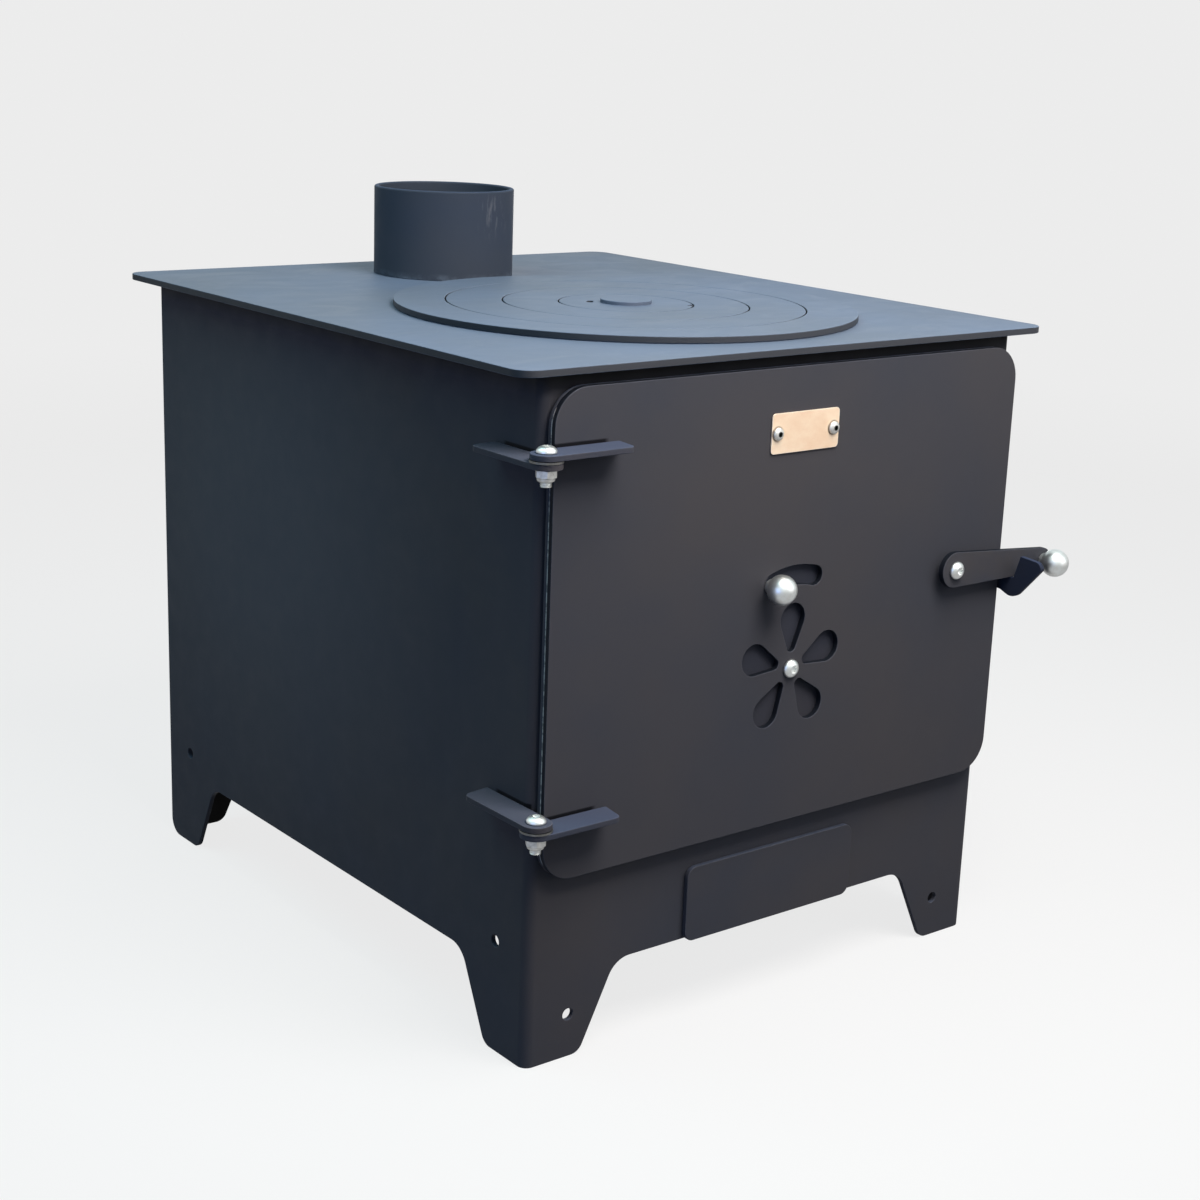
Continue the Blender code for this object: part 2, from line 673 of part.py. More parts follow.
def flue_collar():
    """The pipe stub, its rim's edges rounded."""
    inner_r = FLUE_R - FLUE_WALL
    section = rounded([
        (FLUE_R, FLUE_HEIGHT, FLUE_RIM_R),
        (FLUE_R, 0, 0),
        (inner_r, 0, 0),
        (inner_r, FLUE_HEIGHT, FLUE_RIM_R),
    ], 2)
    place = (CENTRE_X, FLUE_Y, COOK_HEIGHT + GAP)
    turned("flue_collar", PAINT, section, place, "up", MEDIUM, closed=True)


def ring(name, outer, bore):
    """One hob ring, with the ledge under its bore that carries the next piece in."""
    ledge_r = bore - LEDGE_REACH
    root_r = bore + LEDGE_ROOT
    section = [
        (outer, RING_THICK),
        (outer, 0),
        (root_r, 0),
        (root_r, -GAP - LEDGE_THICK),
        (ledge_r, -GAP - LEDGE_THICK),
        (ledge_r, -GAP),
        (bore, -GAP),
        (bore, RING_THICK),
    ]
    place = (CENTRE_X, HOB_Y, COOK_HEIGHT + GAP)
    return turned(name, HOB_PAINT, section, place, "up", FINE, closed=True)


def hob_lid():
    """The lid: a disc with a raised boss, a lifter slot and a lifter notch in its rim."""
    lid_r = LID_R - RING_PLAY
    section = [(0, RING_THICK + BOSS_HEIGHT), (BOSS_R, RING_THICK + BOSS_HEIGHT), (BOSS_R, RING_THICK),
               (lid_r, RING_THICK), (lid_r, 0), (0, 0)]
    base = (CENTRE_X, HOB_Y, COOK_HEIGHT + GAP)
    lid = turned("hob_lid", HOB_PAINT, section, base, "up", MEDIUM)
    end = LIFTER_LENGTH / 2
    slot = turned_by(moved_by(belt((0, -end), LIFTER_R, (0, end), LIFTER_R, 5), LIFTER_AT, 0), LIFTER_ANGLE)
    low = along(base, "up", -RING_THICK / 2)
    combine(lid, flat("lifter_slot", None, [slot], 2 * RING_THICK, low, "up"))
    angle = LIFTER_ANGLE + pi
    rim = (CENTRE_X + lid_r * cos(angle), HOB_Y + lid_r * sin(angle), COOK_HEIGHT)
    edge = along(rim, "up", -RING_THICK / 2)
    combine(lid, rod("lifter_notch", None, NOTCH_R, 2 * RING_THICK, edge, "up"))
    return lid


def hob():
    """The rings and the lid; each lifts with all that lies inside it."""
    lid = hob_lid()
    nest = [
        ring("hob_ring_outer", RING_OUTER_R, RING_MIDDLE_R + RING_PLAY),
        ring("hob_ring_middle", RING_MIDDLE_R - RING_PLAY, RING_INNER_R + RING_PLAY),
        ring("hob_ring_inner", RING_INNER_R - RING_PLAY, LID_R + RING_PLAY),
        lid,
    ]
    carrier = None
    for piece in nest:
        carrier = pivot(piece.name + "_lift", (CENTRE_X, HOB_Y, COOK_HEIGHT), carrier)
        carry(carrier, [piece])


# Firebox floor, grate and ash drawer

def firebox_floor():
    """The plate under the fire, with the ash hole."""
    left = SHEET + GAP
    right = BODY_WIDTH - left
    back = BODY_DEPTH - SHEET - GAP
    bend_r = BEND_INNER_R - GAP
    plan = rounded([(left, left, bend_r), (right, left, bend_r), (right, back, 0), (left, back, 0)])
    hole = rectangle(CENTRE_X - ASH_HALF, CENTRE_X + ASH_HALF, ASH_FRONT, ASH_END)
    flat("firebox_floor", BARE_STEEL, [plan, hole[::-1]], FLOOR_THICK, (0, 0, FLOOR_LOW), "up")


def grate():
    """The slotted plate over the ash hole."""
    half = ASH_HALF + GRATE_SEAT
    front, back = ASH_FRONT - GRATE_SEAT, ASH_END + GRATE_SEAT
    outlines = [rectangle(CENTRE_X - half, CENTRE_X + half, front, back, GRATE_R)]
    pitch = 2 * ASH_HALF / GRATE_SLOTS
    first, last = ASH_FRONT + 2 * GRATE_SLOT_R, ASH_END - 2 * GRATE_SLOT_R
    for i in range(GRATE_SLOTS):
        x = CENTRE_X + (i - (GRATE_SLOTS - 1) / 2) * pitch
        outlines.append(belt((x, first), GRATE_SLOT_R, (x, last), GRATE_SLOT_R, 4))
    flat("grate", BARE_STEEL, outlines, GRATE_THICK, (0, 0, FLOOR_TOP + GAP), "up")


def drawer_guides():
    """Two angles under the firebox floor that carry the ash tray."""
    inner = TRAY_WIDTH / 2 + GUIDE_PLAY
    outer = inner + GUIDE_SHEET
    shelf = outer - GUIDE_FLANGE
    top = TRAY_LOW - GAP
    section = [
        (outer, top - GUIDE_SHEET),
        (outer, FLOOR_LOW - GAP),
        (inner, FLOOR_LOW - GAP),
        (inner, top),
        (shelf, top),
        (shelf, top - GUIDE_SHEET),
    ]
    start = SHEET + GAP
    length = TRAY_LENGTH + GUIDE_PAST - start
    place = (CENTRE_X, start + length, 0)
    mirrored = [(-u, v) for u, v in section]
    flat("drawer_guide_left", BARE_STEEL, [mirrored], length, place, "front")
    flat("drawer_guide_right", BARE_STEEL, [section], length, place, "front")


def ash_drawer():
    """The drawer's front plate and the open tray behind it."""
    half = NOTCH_HALF + DRAWER_LAP
    outline = rectangle(-half, half, APRON_HEIGHT - DRAWER_DROP, NOTCH_TOP + DRAWER_LAP, DRAWER_R)
    front = flat("drawer_front", PAINT, [outline], DRAWER_THICK, (CENTRE_X, -GAP, 0), "front")
    form = bmesh.new()
    bmesh.ops.create_cube(form, size=1)
    bmesh.ops.scale(form, vec=(TRAY_WIDTH, TRAY_LENGTH, TRAY_HEIGHT), verts=form.verts)
    lid = [face for face in form.faces if face.calc_center_median().z > TRAY_HEIGHT / 3]
    bmesh.ops.delete(form, geom=lid, context="FACES_ONLY")
    mesh = bpy.data.meshes.new("ash_tray")
    form.to_mesh(mesh)
    form.free()
    centre = (CENTRE_X, TRAY_LENGTH / 2, TRAY_LOW + TRAY_HEIGHT / 2)
    tray = add("ash_tray", mesh, BARE_STEEL, centre, "up")
    shell = tray.modifiers.new("Sheet", "SOLIDIFY")
    shell.thickness = TRAY_SHEET
    shell.offset = -1
    shell.use_even_offset = True
    slide = pivot("drawer_slide", (CENTRE_X, 0, TRAY_LOW))
    carry(slide, [front, tray])


# Door and what it carries

def hinge(level, top, door_leaf_first):
    """One hinge, from its top down: bolt head, leaf, washer, leaf, nut. Returns the door's leaf."""
    washer_top = top - LEAF_THICK - GAP
    second_top = washer_top - WASHER_THICK - GAP
    nut_seat = second_top - LEAF_THICK - GAP
    door_top, body_top = (top, second_top) if door_leaf_first else (second_top, top)
    hole = circle((0, 0), M8[0] + GAP)
    door_leaf = [leaf_outline(DOOR_LEAF_REACH), hole]
    body_leaf = [[(v, u) for u, v in leaf_outline(BODY_LEAF_REACH)], hole]
    washer = [circle((0, 0), WASHER_R, SMALL), hole]

    def place(height):
        return (HINGE_X, HINGE_Y, height)

    flat("body_leaf_" + level, PAINT, body_leaf, LEAF_THICK, place(body_top - LEAF_THICK), "up")
    flat("hinge_washer_" + level, STAINLESS, washer, WASHER_THICK, place(washer_top - WASHER_THICK), "up")
    grip = top + GAP - (nut_seat - NUT8[3]) + HINGE_BOLT_END
    screw("hinge_bolt_" + level, M8, grip, place(top + GAP), "up")
    nut("hinge_nut_" + level, NUT8, place(nut_seat), "up")
    return flat("door_leaf_" + level, PAINT, door_leaf, LEAF_THICK, place(door_top - LEAF_THICK), "up")


def door_plate():
    """The door: a plate with the petals, the knob's slot and the screw holes."""
    slot = arc_slot(pi / 2 + SLOT_LEAN, SLOT_HALF, SLOT_AT, SLOT_R)
    holes = [moved_by(shape, CENTRE_X, ROSETTE_HEIGHT) for shape in [*petals(0, PETAL_TIP_R), slot]]
    holes.append(circle((CENTRE_X, ROSETTE_HEIGHT), M8[0] + GAP))
    holes.append(circle((LATCH_X, LATCH_HEIGHT), M8[0] + GAP))
    for x in plate_screws():
        holes.append(circle((CENTRE_X + x, PLATE_AT_HEIGHT), M5[0] + GAP, TINY))
    return flat("door_plate", PAINT, [door_outline(0), *holes], DOOR_THICK, (0, -DOOR_BACK, 0), "front")


def seal():
    """The rope round the mouth and the two strips that hold it."""
    strip_back = (0, STRIP_DEPTH - ROPE_FRONT, 0)
    outer = [door_outline(0), door_outline(STRIP_WIDTH)]
    rope = [door_outline(ROPE_INSET), door_outline(ROPE_INSET + ROPE_WIDTH)]
    inner = [door_outline(INNER_STRIP_INSET), door_outline(INNER_STRIP_INSET + STRIP_WIDTH)]
    return [
        flat("seal_strip_outer", PAINT, outer, STRIP_DEPTH, strip_back, "front"),
        flat("seal_rope", ROPE, rope, ROPE_THICK, (0, -GAP, 0), "front"),
        flat("seal_strip_inner", PAINT, inner, STRIP_DEPTH, strip_back, "front"),
    ]


def plate_screws():
    """Places of the nameplate's two screws, left and right of its centre."""
    reach = PLATE_WIDTH / 2 - PLATE_SCREW_INSET
    return (-reach, reach)


def nameplate():
    """The bare nameplate and its screws."""
    back = -DOOR_FACE - GAP
    half_width, half_height = PLATE_WIDTH / 2, PLATE_HEIGHT / 2
    holes = [circle((x, 0), M5[0] + GAP, TINY) for x in plate_screws()]
    outline = rectangle(-half_width, half_width, -half_height, half_height, PLATE_R)
    middle = (CENTRE_X, back, PLATE_AT_HEIGHT)
    pieces = [flat("nameplate", BRASS, [outline, *holes], PLATE_THICK, middle, "front")]
    seat = back - PLATE_THICK - GAP
    grip = -seat - DOOR_BACK + PLATE_SCREW_END
    for side, x in zip(("left", "right"), plate_screws()):
        place = (CENTRE_X + x, seat, PLATE_AT_HEIGHT)
        pieces.append(screw("nameplate_screw_" + side, M5, grip, place, "front"))
    return pieces


def rosette_pivot():
    """The screw and nut that the disc turns on."""
    seat = DOOR_FACE + GAP
    nut_seat = ROPE_FRONT - DISC_THICK - GAP
    grip = seat - (nut_seat - NUT8[3]) + SCREW_END
    return [
        screw("rosette_screw", M8, grip, (CENTRE_X, -seat, ROSETTE_HEIGHT), "front"),
        nut("rosette_nut", NUT8, (CENTRE_X, -nut_seat, ROSETTE_HEIGHT), "front"),
    ]


def rosette(door):
    """The disc behind the door, shut at rest, and the ball on its stud in the slot."""
    centre = (CENTRE_X, -ROPE_FRONT + DISC_THICK, ROSETTE_HEIGHT)
    outlines = [circle((0, 0), DISC_R, FINE), circle((0, 0), M8[0] + GAP), *petals(AIR_TURN, DISC_TIP_R)]
    disc = flat("rosette_disc", PAINT, outlines, DISC_THICK, centre, "front")
    x = CENTRE_X - SLOT_AT * sin(BALL_LEAN)
    height = ROSETTE_HEIGHT + SLOT_AT * cos(BALL_LEAN)
    foot = ROPE_FRONT + GAP
    seat = DOOR_FACE + AIR_BALL_PLAY
    length = seat + BORE_DEPTH - STUD_SHORT - foot
    stud = rod("air_stud", STAINLESS, STUD_R, length, (x, -foot, height), "front", TINY)
    knob = ball("air_ball", (x, -seat, height), "front")
    carry(pivot("air_axis", (CENTRE_X, -DOOR_BACK, ROSETTE_HEIGHT), door), [disc, stud, knob])


def latch_pivot():
    """The latch's screw, the spacer that holds the bar off the door, and the nut inside."""
    seat = LATCH_FACE + GAP
    grip = seat - (ROPE_FRONT - NUT8[3]) + SCREW_END
    bore_r = M8[0] + GAP
    spacer = [circle((0, 0), bore_r + SPACER_WALL), circle((0, 0), bore_r)]
    back = (LATCH_X, -DOOR_FACE - GAP, LATCH_HEIGHT)
    return [
        screw("latch_screw", M8, grip, (LATCH_X, -seat, LATCH_HEIGHT), "front"),
        flat("latch_spacer", STAINLESS, spacer, LATCH_STANDOFF - 2 * GAP, back, "front"),
        nut("latch_nut", NUT8, (LATCH_X, -ROPE_FRONT, LATCH_HEIGHT), "front"),
    ]


def latch(door):
    """The bar, whose lower edge is level, and its ball."""
    outlines = [
        belt((0, 0), LATCH_PIVOT_R, (LATCH_REACH, -LATCH_KNOB_DROP), LATCH_TIP_R, 10),
        circle((0, 0), M8[0] + GAP),
    ]
    bar = flat("latch_bar", PAINT, outlines, LATCH_THICK, (LATCH_X, -LATCH_BACK, LATCH_HEIGHT), "front")
    foot = (LATCH_X + LATCH_REACH, -LATCH_FACE - GAP, LATCH_HEIGHT - LATCH_KNOB_DROP)
    stud = rod("latch_stud", STAINLESS, STUD_R, BORE_DEPTH - STUD_SHORT, foot, "front", TINY)
    knob = ball("latch_ball", foot, "front")
    carry(pivot("latch_axis", (LATCH_X, -LATCH_BACK, LATCH_HEIGHT), door), [bar, stud, knob])


def catch_hook():
    """The catch on the right side wall."""
    flat("catch_hook", PAINT, [catch_outline()], CATCH_THICK, (CATCH_X, 0, 0), "side")


def door():
    """Everything that swings with the door."""
    leaves = [
        hinge("upper", DOOR_HIGH - UPPER_HINGE_DROP, True),
        hinge("lower", DOOR_LOW + LOWER_HINGE_RISE, False),
    ]
    axis = pivot("door_axis", (HINGE_X, HINGE_Y, DOOR_LOW))
    carry(axis, [door_plate(), *leaves, *seal(), *nameplate(), *rosette_pivot(), *latch_pivot()])
    rosette(axis)
    latch(axis)


clear()
casing_wrap()
back_panel()
top_plate()
flue_collar()
firebox_floor()
grate()
drawer_guides()
ash_drawer()
catch_hook()
hob()
door()
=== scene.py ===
"""Cookstove: the finished skin of a folded steel stove round its measured frame, with its
floor, lights and camera.

Everything is in metres, +Z up, with the door facing -Y. Each operator makes one piece of the
stove, or a group of like pieces, and the panel in the sidebar lists them.
"""
from functools import partial
from math import acos, atan2, cos, pi, radians, sin, tan

import bmesh
import bpy
from bpy.props import FloatProperty, FloatVectorProperty, IntProperty, PointerProperty
from mathutils import Matrix, Vector


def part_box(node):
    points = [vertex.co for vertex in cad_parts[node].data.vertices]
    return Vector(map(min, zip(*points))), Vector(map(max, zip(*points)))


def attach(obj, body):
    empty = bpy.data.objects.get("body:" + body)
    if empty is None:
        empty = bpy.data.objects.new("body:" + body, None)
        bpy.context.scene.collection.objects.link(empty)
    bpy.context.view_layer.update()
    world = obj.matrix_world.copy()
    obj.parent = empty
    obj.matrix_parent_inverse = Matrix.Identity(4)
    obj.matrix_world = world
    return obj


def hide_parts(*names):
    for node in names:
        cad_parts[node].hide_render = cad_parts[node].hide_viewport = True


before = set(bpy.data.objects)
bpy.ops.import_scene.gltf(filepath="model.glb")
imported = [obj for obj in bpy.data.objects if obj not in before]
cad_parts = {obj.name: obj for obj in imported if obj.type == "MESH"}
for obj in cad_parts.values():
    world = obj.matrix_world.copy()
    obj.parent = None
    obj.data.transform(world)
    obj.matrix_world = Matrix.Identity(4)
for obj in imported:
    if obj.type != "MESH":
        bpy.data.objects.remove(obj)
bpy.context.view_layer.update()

bl_info = {
    "name": "Cookstove",
    "version": (1, 0, 0),
    "blender": (4, 5, 0),
    "location": "3D View > Sidebar > Cookstove",
    "description": "Builds the finished surfaces of a folded steel cookstove",
    "category": "Object",
}

# Places read from the frame
CASING_LOW, CASING_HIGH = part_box("casing_wrap")
BACK_LOW, BACK_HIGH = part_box("back_panel")
TOP_LOW, TOP_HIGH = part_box("top_plate")
COLLAR_LOW, COLLAR_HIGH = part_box("flue_collar")
HOB_LOW, HOB_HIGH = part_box("hob_ring_outer")
LID_LOW, LID_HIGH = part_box("hob_lid")
DOOR_LOW, DOOR_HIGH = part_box("door_plate")
DRAWER_LOW, DRAWER_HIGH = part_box("drawer_front")
DISC_LOW, DISC_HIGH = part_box("rosette_disc")
BAR_LOW, BAR_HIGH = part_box("latch_bar")
PLATE_LOW, PLATE_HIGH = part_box("nameplate")
ROPE_LOW, ROPE_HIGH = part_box("seal_rope")

WELD = 0.000001              # merge distance for points that coincide
GAP = 0.0003                 # between pieces that touch

# Casing and legs
SHEET = 0.004
BEND_R = 0.008               # outside of the two folded front corners
FOOT_WIDTH = 0.049
LEG_FLARE = 0.031
APRON_HEIGHT = 0.065
FOOT_FILLET = 0.011
APRON_FILLET = 0.020
LEG_HOLE_R = 0.0045
LEAF_SHADE_RISE = 0.0023           # how far the painted shade line rises above a hinge leaf
LEAF_SHADE_SHARE = 0.85       # of the leaf's reach
REAR_CORNER_R = 0.014        # of the side sheets, at the floor
LEG_HOLE_INSET = 0.038
SIDE_HOLE_HEIGHT = 0.085
FRONT_HOLE_HEIGHT = 0.033
NOTCH_LAP = 0.008            # of the drawer's front over the notch
MOUTH_LAP = 0.026            # of the door over the mouth in the casing
MOUTH_R = 0.012

# Top, hob and collar
TOP_CORNER_R = 0.015
HOB_HOLE_R = 0.160
FLUE_WALL = 0.004
FLUE_RIM_R = 0.0016
SEAM_RADII = (0.0525, 0.096, 0.140)
SEAM_HALF = 0.0005
LEDGE_REACH = 0.0105
LEDGE_ROOT = 0.0185
BOSS_R = 0.020
BOSS_HEIGHT = 0.003
LIFTER_AT = 0.028
LIFTER_ANGLE = radians(140)
LIFTER_R = 0.0025
LIFTER_HALF = 0.0035
NOTCH_R = 0.004

# Door, drawer, leaves and seal
DOOR_R = 0.026
DRAWER_R = 0.008
PLATE_R = 0.003
STRIP_WIDTH = 0.004
ROPE_WIDTH = 0.010
ROPE_SQUARE = 2.6            # how square the rope's section is; 2 is round
STRAND_RISE = 0.14           # of the rope's half width
ROPE_STEPS = 5               # grid steps in one crossing of the braid
ROPE_ROUND = 32              # grid steps round the rope's section
LEAF_WIDTH = 0.022
LEAF_TIP_R = 0.006
LEAF_TIP_CUT = 0.003
LEAF_CORNER_R = 0.001        # at the tip's other corner

# Air rosette
PETALS = 5
PETAL_TIP = 0.0495
PETAL_ROOT = 0.0125
PETAL_TIP_R = 0.012
PETAL_ROOT_R = 0.0042
DISC_TIP_R = 0.0085          # of the disc's own petals
KNOB_SLOT_AT = 0.0705
KNOB_SLOT_R = 0.0075
AIR_TURN = pi / PETALS + radians(4)
SLOT_LEAN = radians(1)       # of the knob slot's middle, to the left of upright
STUD_PLAY = 0.0013

# Knobs
BALL_R = 0.011
NECK_R = 0.0055
BORE_DEPTH = 0.009
STUD_R = 0.0025

# Latch bar and catch, as heights and depths round the notch that the bar drops in
LATCH_PIVOT_R = 0.014
LATCH_TIP_R = 0.0095
CATCH_PLAY = 0.001
CATCH_MOUTH = 0.0019
CATCH_RETURN = 0.030
CATCH_ABOVE = 0.012
CATCH_BELOW = 0.008
CATCH_THROAT = 0.0175
CATCH_BEND_BACK = 0.0046
CATCH_BEND_BELOW = 0.012
THROAT_FORWARD = 0.0015
NOTCH_FLARE = 0.0055
NOSE_REACH = 0.0297
NOSE_RISE = 0.0185
NOSE_TIP_DROP = 0.0063
NOSE_TIP_HEIGHT = 0.005
NOSE_TIP_SLOPE = 0.0038
CATCH_CORNER_R = 0.004
CATCH_BEND_R = 0.008
CATCH_THROAT_R = 0.012
NOSE_TIP_R = 0.0025
NOSE_TOP_R = 0.005
NOTCH_EDGE_R = 0.0015

# Fasteners: shank radius, head radius, head height, key size and thread pitch
M8 = (0.0040, 0.0070, 0.0044, 0.0050, 0.00125)
M5 = (0.0025, 0.00475, 0.00275, 0.0030, 0.0008)
HEAD_EDGE = 0.0006
CROWN_ANGLE = radians(60)
CROWN_STEPS = 10
SOCKET_SHARE = 0.35
SOCKET_CHAMFER = 0.00015
THREAD_TURNS = 5
THREAD_SHAPE = (0.15, 0.25, 0.65, 0.80)   # a thread's root and crest, in shares of its pitch
# Locking nut: bolt radius, size across flats, height of the hexagon and of the whole nut
NUT8 = (0.0040, 0.013, 0.0060, 0.0080)
COLLAR_SHARE = 0.92
COLLAR_LOWER = 0.45          # where a nut's collar starts, of its height past the hexagon
COLLAR_CROWN = ((0.97, 0.0004), (0.90, 0.0))   # shares of the collar's radius, below its top
NUT_FACE = 0.97              # a nut's seat against its size across flats
NUT_RING = 1.25              # ring in its collar against the bolt
NUT_CHAMFER = 0.0009
NUT_SLOPE = 1.73             # how fast a nut's chamfer runs in against its height

# Segments
WIDE_ROUND = 192
ROUND = 96
SMALL_ROUND = 48
CORNER_STEPS = 10
BEND_STEPS = 10
RIM_STEPS = 3
SHARP_ANGLE = radians(38)

# Middles of the turned pieces and hinges
HOB_X = (HOB_LOW.x + HOB_HIGH.x) / 2
HOB_Y = (HOB_LOW.y + HOB_HIGH.y) / 2
FLUE_X = (COLLAR_LOW.x + COLLAR_HIGH.x) / 2
FLUE_Y = (COLLAR_LOW.y + COLLAR_HIGH.y) / 2
FLUE_R = (COLLAR_HIGH.x - COLLAR_LOW.x) / 2
LEG_WIDTH = FOOT_WIDTH + LEG_FLARE
CASING_WIDTH = CASING_HIGH.x - CASING_LOW.x
CASING_DEPTH = CASING_HIGH.y - CASING_LOW.y


def middle(node):
    """The middle of a node's box."""
    low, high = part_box(node)
    return (low + high) / 2


# What a user would change

class CookstoveForm(bpy.types.PropertyGroup):
    """Rounding and fineness of the made pieces."""

    sheet_edge: FloatProperty(
        name="Sheet edge", description="Rounding of the cut edges of sheet and plate",
        default=0.0005, min=0.0001, max=0.0015, precision=4, unit="LENGTH")
    hob_edge: FloatProperty(
        name="Hob edge", description="Rounding of the hob rings' edges",
        default=0.0007, min=0.0001, max=0.0015, precision=4, unit="LENGTH")
    plate_edge: FloatProperty(
        name="Nameplate edge", description="Rounding of the nameplate's edges",
        default=0.0002, min=0.00005, max=0.0004, precision=5, unit="LENGTH")
    rope_strands: IntProperty(
        name="Rope strands", description="Strands of the rope's braid that run each way round it",
        default=6, min=3, max=12)
    rope_pitch: FloatProperty(
        name="Rope pitch", description="Length of one crossing of the rope's braid",
        default=0.004, min=0.002, max=0.010, precision=4, unit="LENGTH")


class CookstoveFinish(bpy.types.PropertyGroup):
    """Colours and gloss of the stove's finishes."""

    paint: FloatVectorProperty(
        name="Stove paint", description="Matt heat-proof paint of the casing and door",
        subtype="COLOR", size=3, min=0, max=1, default=(0.054, 0.053, 0.060))
    paint_rough: FloatProperty(
        name="Paint roughness", description="Roughness of the matt paint",
        subtype="FACTOR", min=0, max=1, default=0.62)
    hob: FloatVectorProperty(
        name="Hob paint", description="Satin heat-proof paint of the top plate and the hob",
        subtype="COLOR", size=3, min=0, max=1, default=(0.108, 0.135, 0.185))
    hob_rough: FloatProperty(
        name="Hob roughness", description="Roughness of the satin paint",
        subtype="FACTOR", min=0, max=1, default=0.50)
    steel: FloatVectorProperty(
        name="Stainless steel", description="Satin stainless steel of the knobs and fasteners",
        subtype="COLOR", size=3, min=0, max=1, default=(0.72, 0.74, 0.73))
    brass: FloatVectorProperty(
        name="Nameplate", description="Pale brushed metal of the nameplate",
        subtype="COLOR", size=3, min=0, max=1, default=(0.93, 0.74, 0.55))
    rope: FloatVectorProperty(
        name="Rope", description="Glass fibre of the rope seal",
        subtype="COLOR", size=3, min=0, max=1, default=(0.060, 0.058, 0.060))
    scale: FloatVectorProperty(
        name="Fire steel", description="Bare steel with mill scale round the fire",
        subtype="COLOR", size=3, min=0, max=1, default=(0.085, 0.080, 0.078))
    soot: FloatVectorProperty(
        name="Soot", description="Soot on the sides that face the fire",
        subtype="COLOR", size=3, min=0, max=1, default=(0.014, 0.013, 0.012))


class CookstoveStage(bpy.types.PropertyGroup):
    """Floor, lights and camera."""

    floor_size: FloatProperty(
        name="Floor size", description="Side of the square floor",
        default=60.0, min=4, max=200, unit="LENGTH")
    key_power: FloatProperty(
        name="Key light", description="Power of the soft light above the door",
        default=20.0, min=0, max=500, unit="POWER")
    front_power: FloatProperty(
        name="Front light", description="Power of the broad light at the front right",
        default=17.5, min=0, max=500, unit="POWER")
    sky_power: FloatProperty(
        name="Sky light", description="Power of the cyan light high at the left",
        default=9.5, min=0, max=500, unit="POWER")
    side_power: FloatProperty(
        name="Side light", description="Power of the blue light low at the left",
        default=7.0, min=0, max=500, unit="POWER")
    back_power: FloatProperty(
        name="Back light", description="Power of the low light behind at the right",
        default=8.0, min=0, max=500, unit="POWER")
    lens: FloatProperty(
        name="Lens", description="Focal length on a sensor 36 mm wide",
        default=62.05, min=20, max=200, unit="CAMERA")


# Outlines in the plane of a flat piece. Each is a function of how far inside the real edge
# it is drawn, so that a rounded edge is a few of them, one below the other.

def arc(centre, radius, start, stop, steps):
    """Points on an arc, from one angle to another."""
    angles = [start + (stop - start) * i / steps for i in range(steps + 1)]
    return [(centre[0] + radius * cos(a), centre[1] + radius * sin(a)) for a in angles]


def round_line(centre, radius, inset=0.0, segments=SMALL_ROUND):
    """A circle."""
    return arc(centre, radius - inset, 0, 2 * pi, segments)[:-1]


def corner_line(corners, inset=0.0, steps=CORNER_STEPS):
    """A line through corners (u, v, radius), each rounded to its radius."""
    spots = [Vector(corner[:2]) for corner in corners]
    area = sum(a.x * b.y - a.y * b.x for a, b in zip(spots, spots[1:] + spots[:1]))
    hand = 1 if area > 0 else -1
    points = []
    for i, (u, v, radius) in enumerate(corners):
        arriving = (spots[i] - spots[i - 1]).normalized()
        leaving = (spots[(i + 1) % len(spots)] - spots[i]).normalized()
        inner = hand * Vector((-arriving.y, arriving.x))
        next_inner = hand * Vector((-leaving.y, leaving.x))
        here = spots[i] + (inner + next_inner) * (inset / (1 + inner.dot(next_inner)))
        if radius == 0:
            points.append(tuple(here))
            continue
        bulges = hand * (arriving.x * leaving.y - arriving.y * leaving.x) > 0
        radius += -inset if bulges else inset
        half = (-arriving).angle(leaving) / 2
        centre = here + (leaving - arriving).normalized() * (radius / sin(half))
        first = here - arriving * (radius / tan(half)) - centre
        last = here + leaving * (radius / tan(half)) - centre
        start = atan2(first.y, first.x)
        turn = (atan2(last.y, last.x) - start + pi) % (2 * pi) - pi
        points += arc(centre, radius, start, start + turn, steps)
    return points


def box_line(left, right, low, high, radius, inset=0.0, steps=CORNER_STEPS):
    """A rectangle with four like corners."""
    corners = [(left, low), (right, low), (right, high), (left, high)]
    return corner_line([(u, v, radius) for u, v in corners], inset, steps)


def belt_line(first, first_r, second, second_r, inset=0.0, steps=20):
    """The line that a belt makes round two circles."""
    along = Vector(second) - Vector(first)
    heading = atan2(along.y, along.x)
    lean = acos((first_r - second_r) / along.length)
    far = arc(first, first_r - inset, heading + lean, heading + 2 * pi - lean, steps)
    near = arc(second, second_r - inset, heading - lean, heading + lean, steps)
    return far + near


def slot_line(centre, middle_angle, half, radius, end_r, inset=0.0, steps=16):
    """A curved slot with round ends."""
    low, high = middle_angle - half, middle_angle + half
    end_r -= inset
    outer = arc((0, 0), radius + end_r, low, high, steps)
    left = arc((radius * cos(high), radius * sin(high)), end_r, high, high + pi, steps)
    inner = arc((0, 0), radius - end_r, high, low, steps)
    right = arc((radius * cos(low), radius * sin(low)), end_r, low + pi, low + 2 * pi, steps)
    return [(centre[0] + u, centre[1] + v) for u, v in outer + left[1:-1] + inner + right[1:-1]]


def petal_line(centre, angle, tip_r, inset=0.0):
    """One petal of the rosette, which points up when the angle is nothing."""
    petal = belt_line((0, PETAL_ROOT + PETAL_ROOT_R), PETAL_ROOT_R,
                      (0, PETAL_TIP - PETAL_TIP_R), tip_r, inset)
    across = (cos(angle), sin(angle))
    return [(centre[0] + u * across[0] - v * across[1], centre[1] + u * across[1] + v * across[0])
            for u, v in petal]


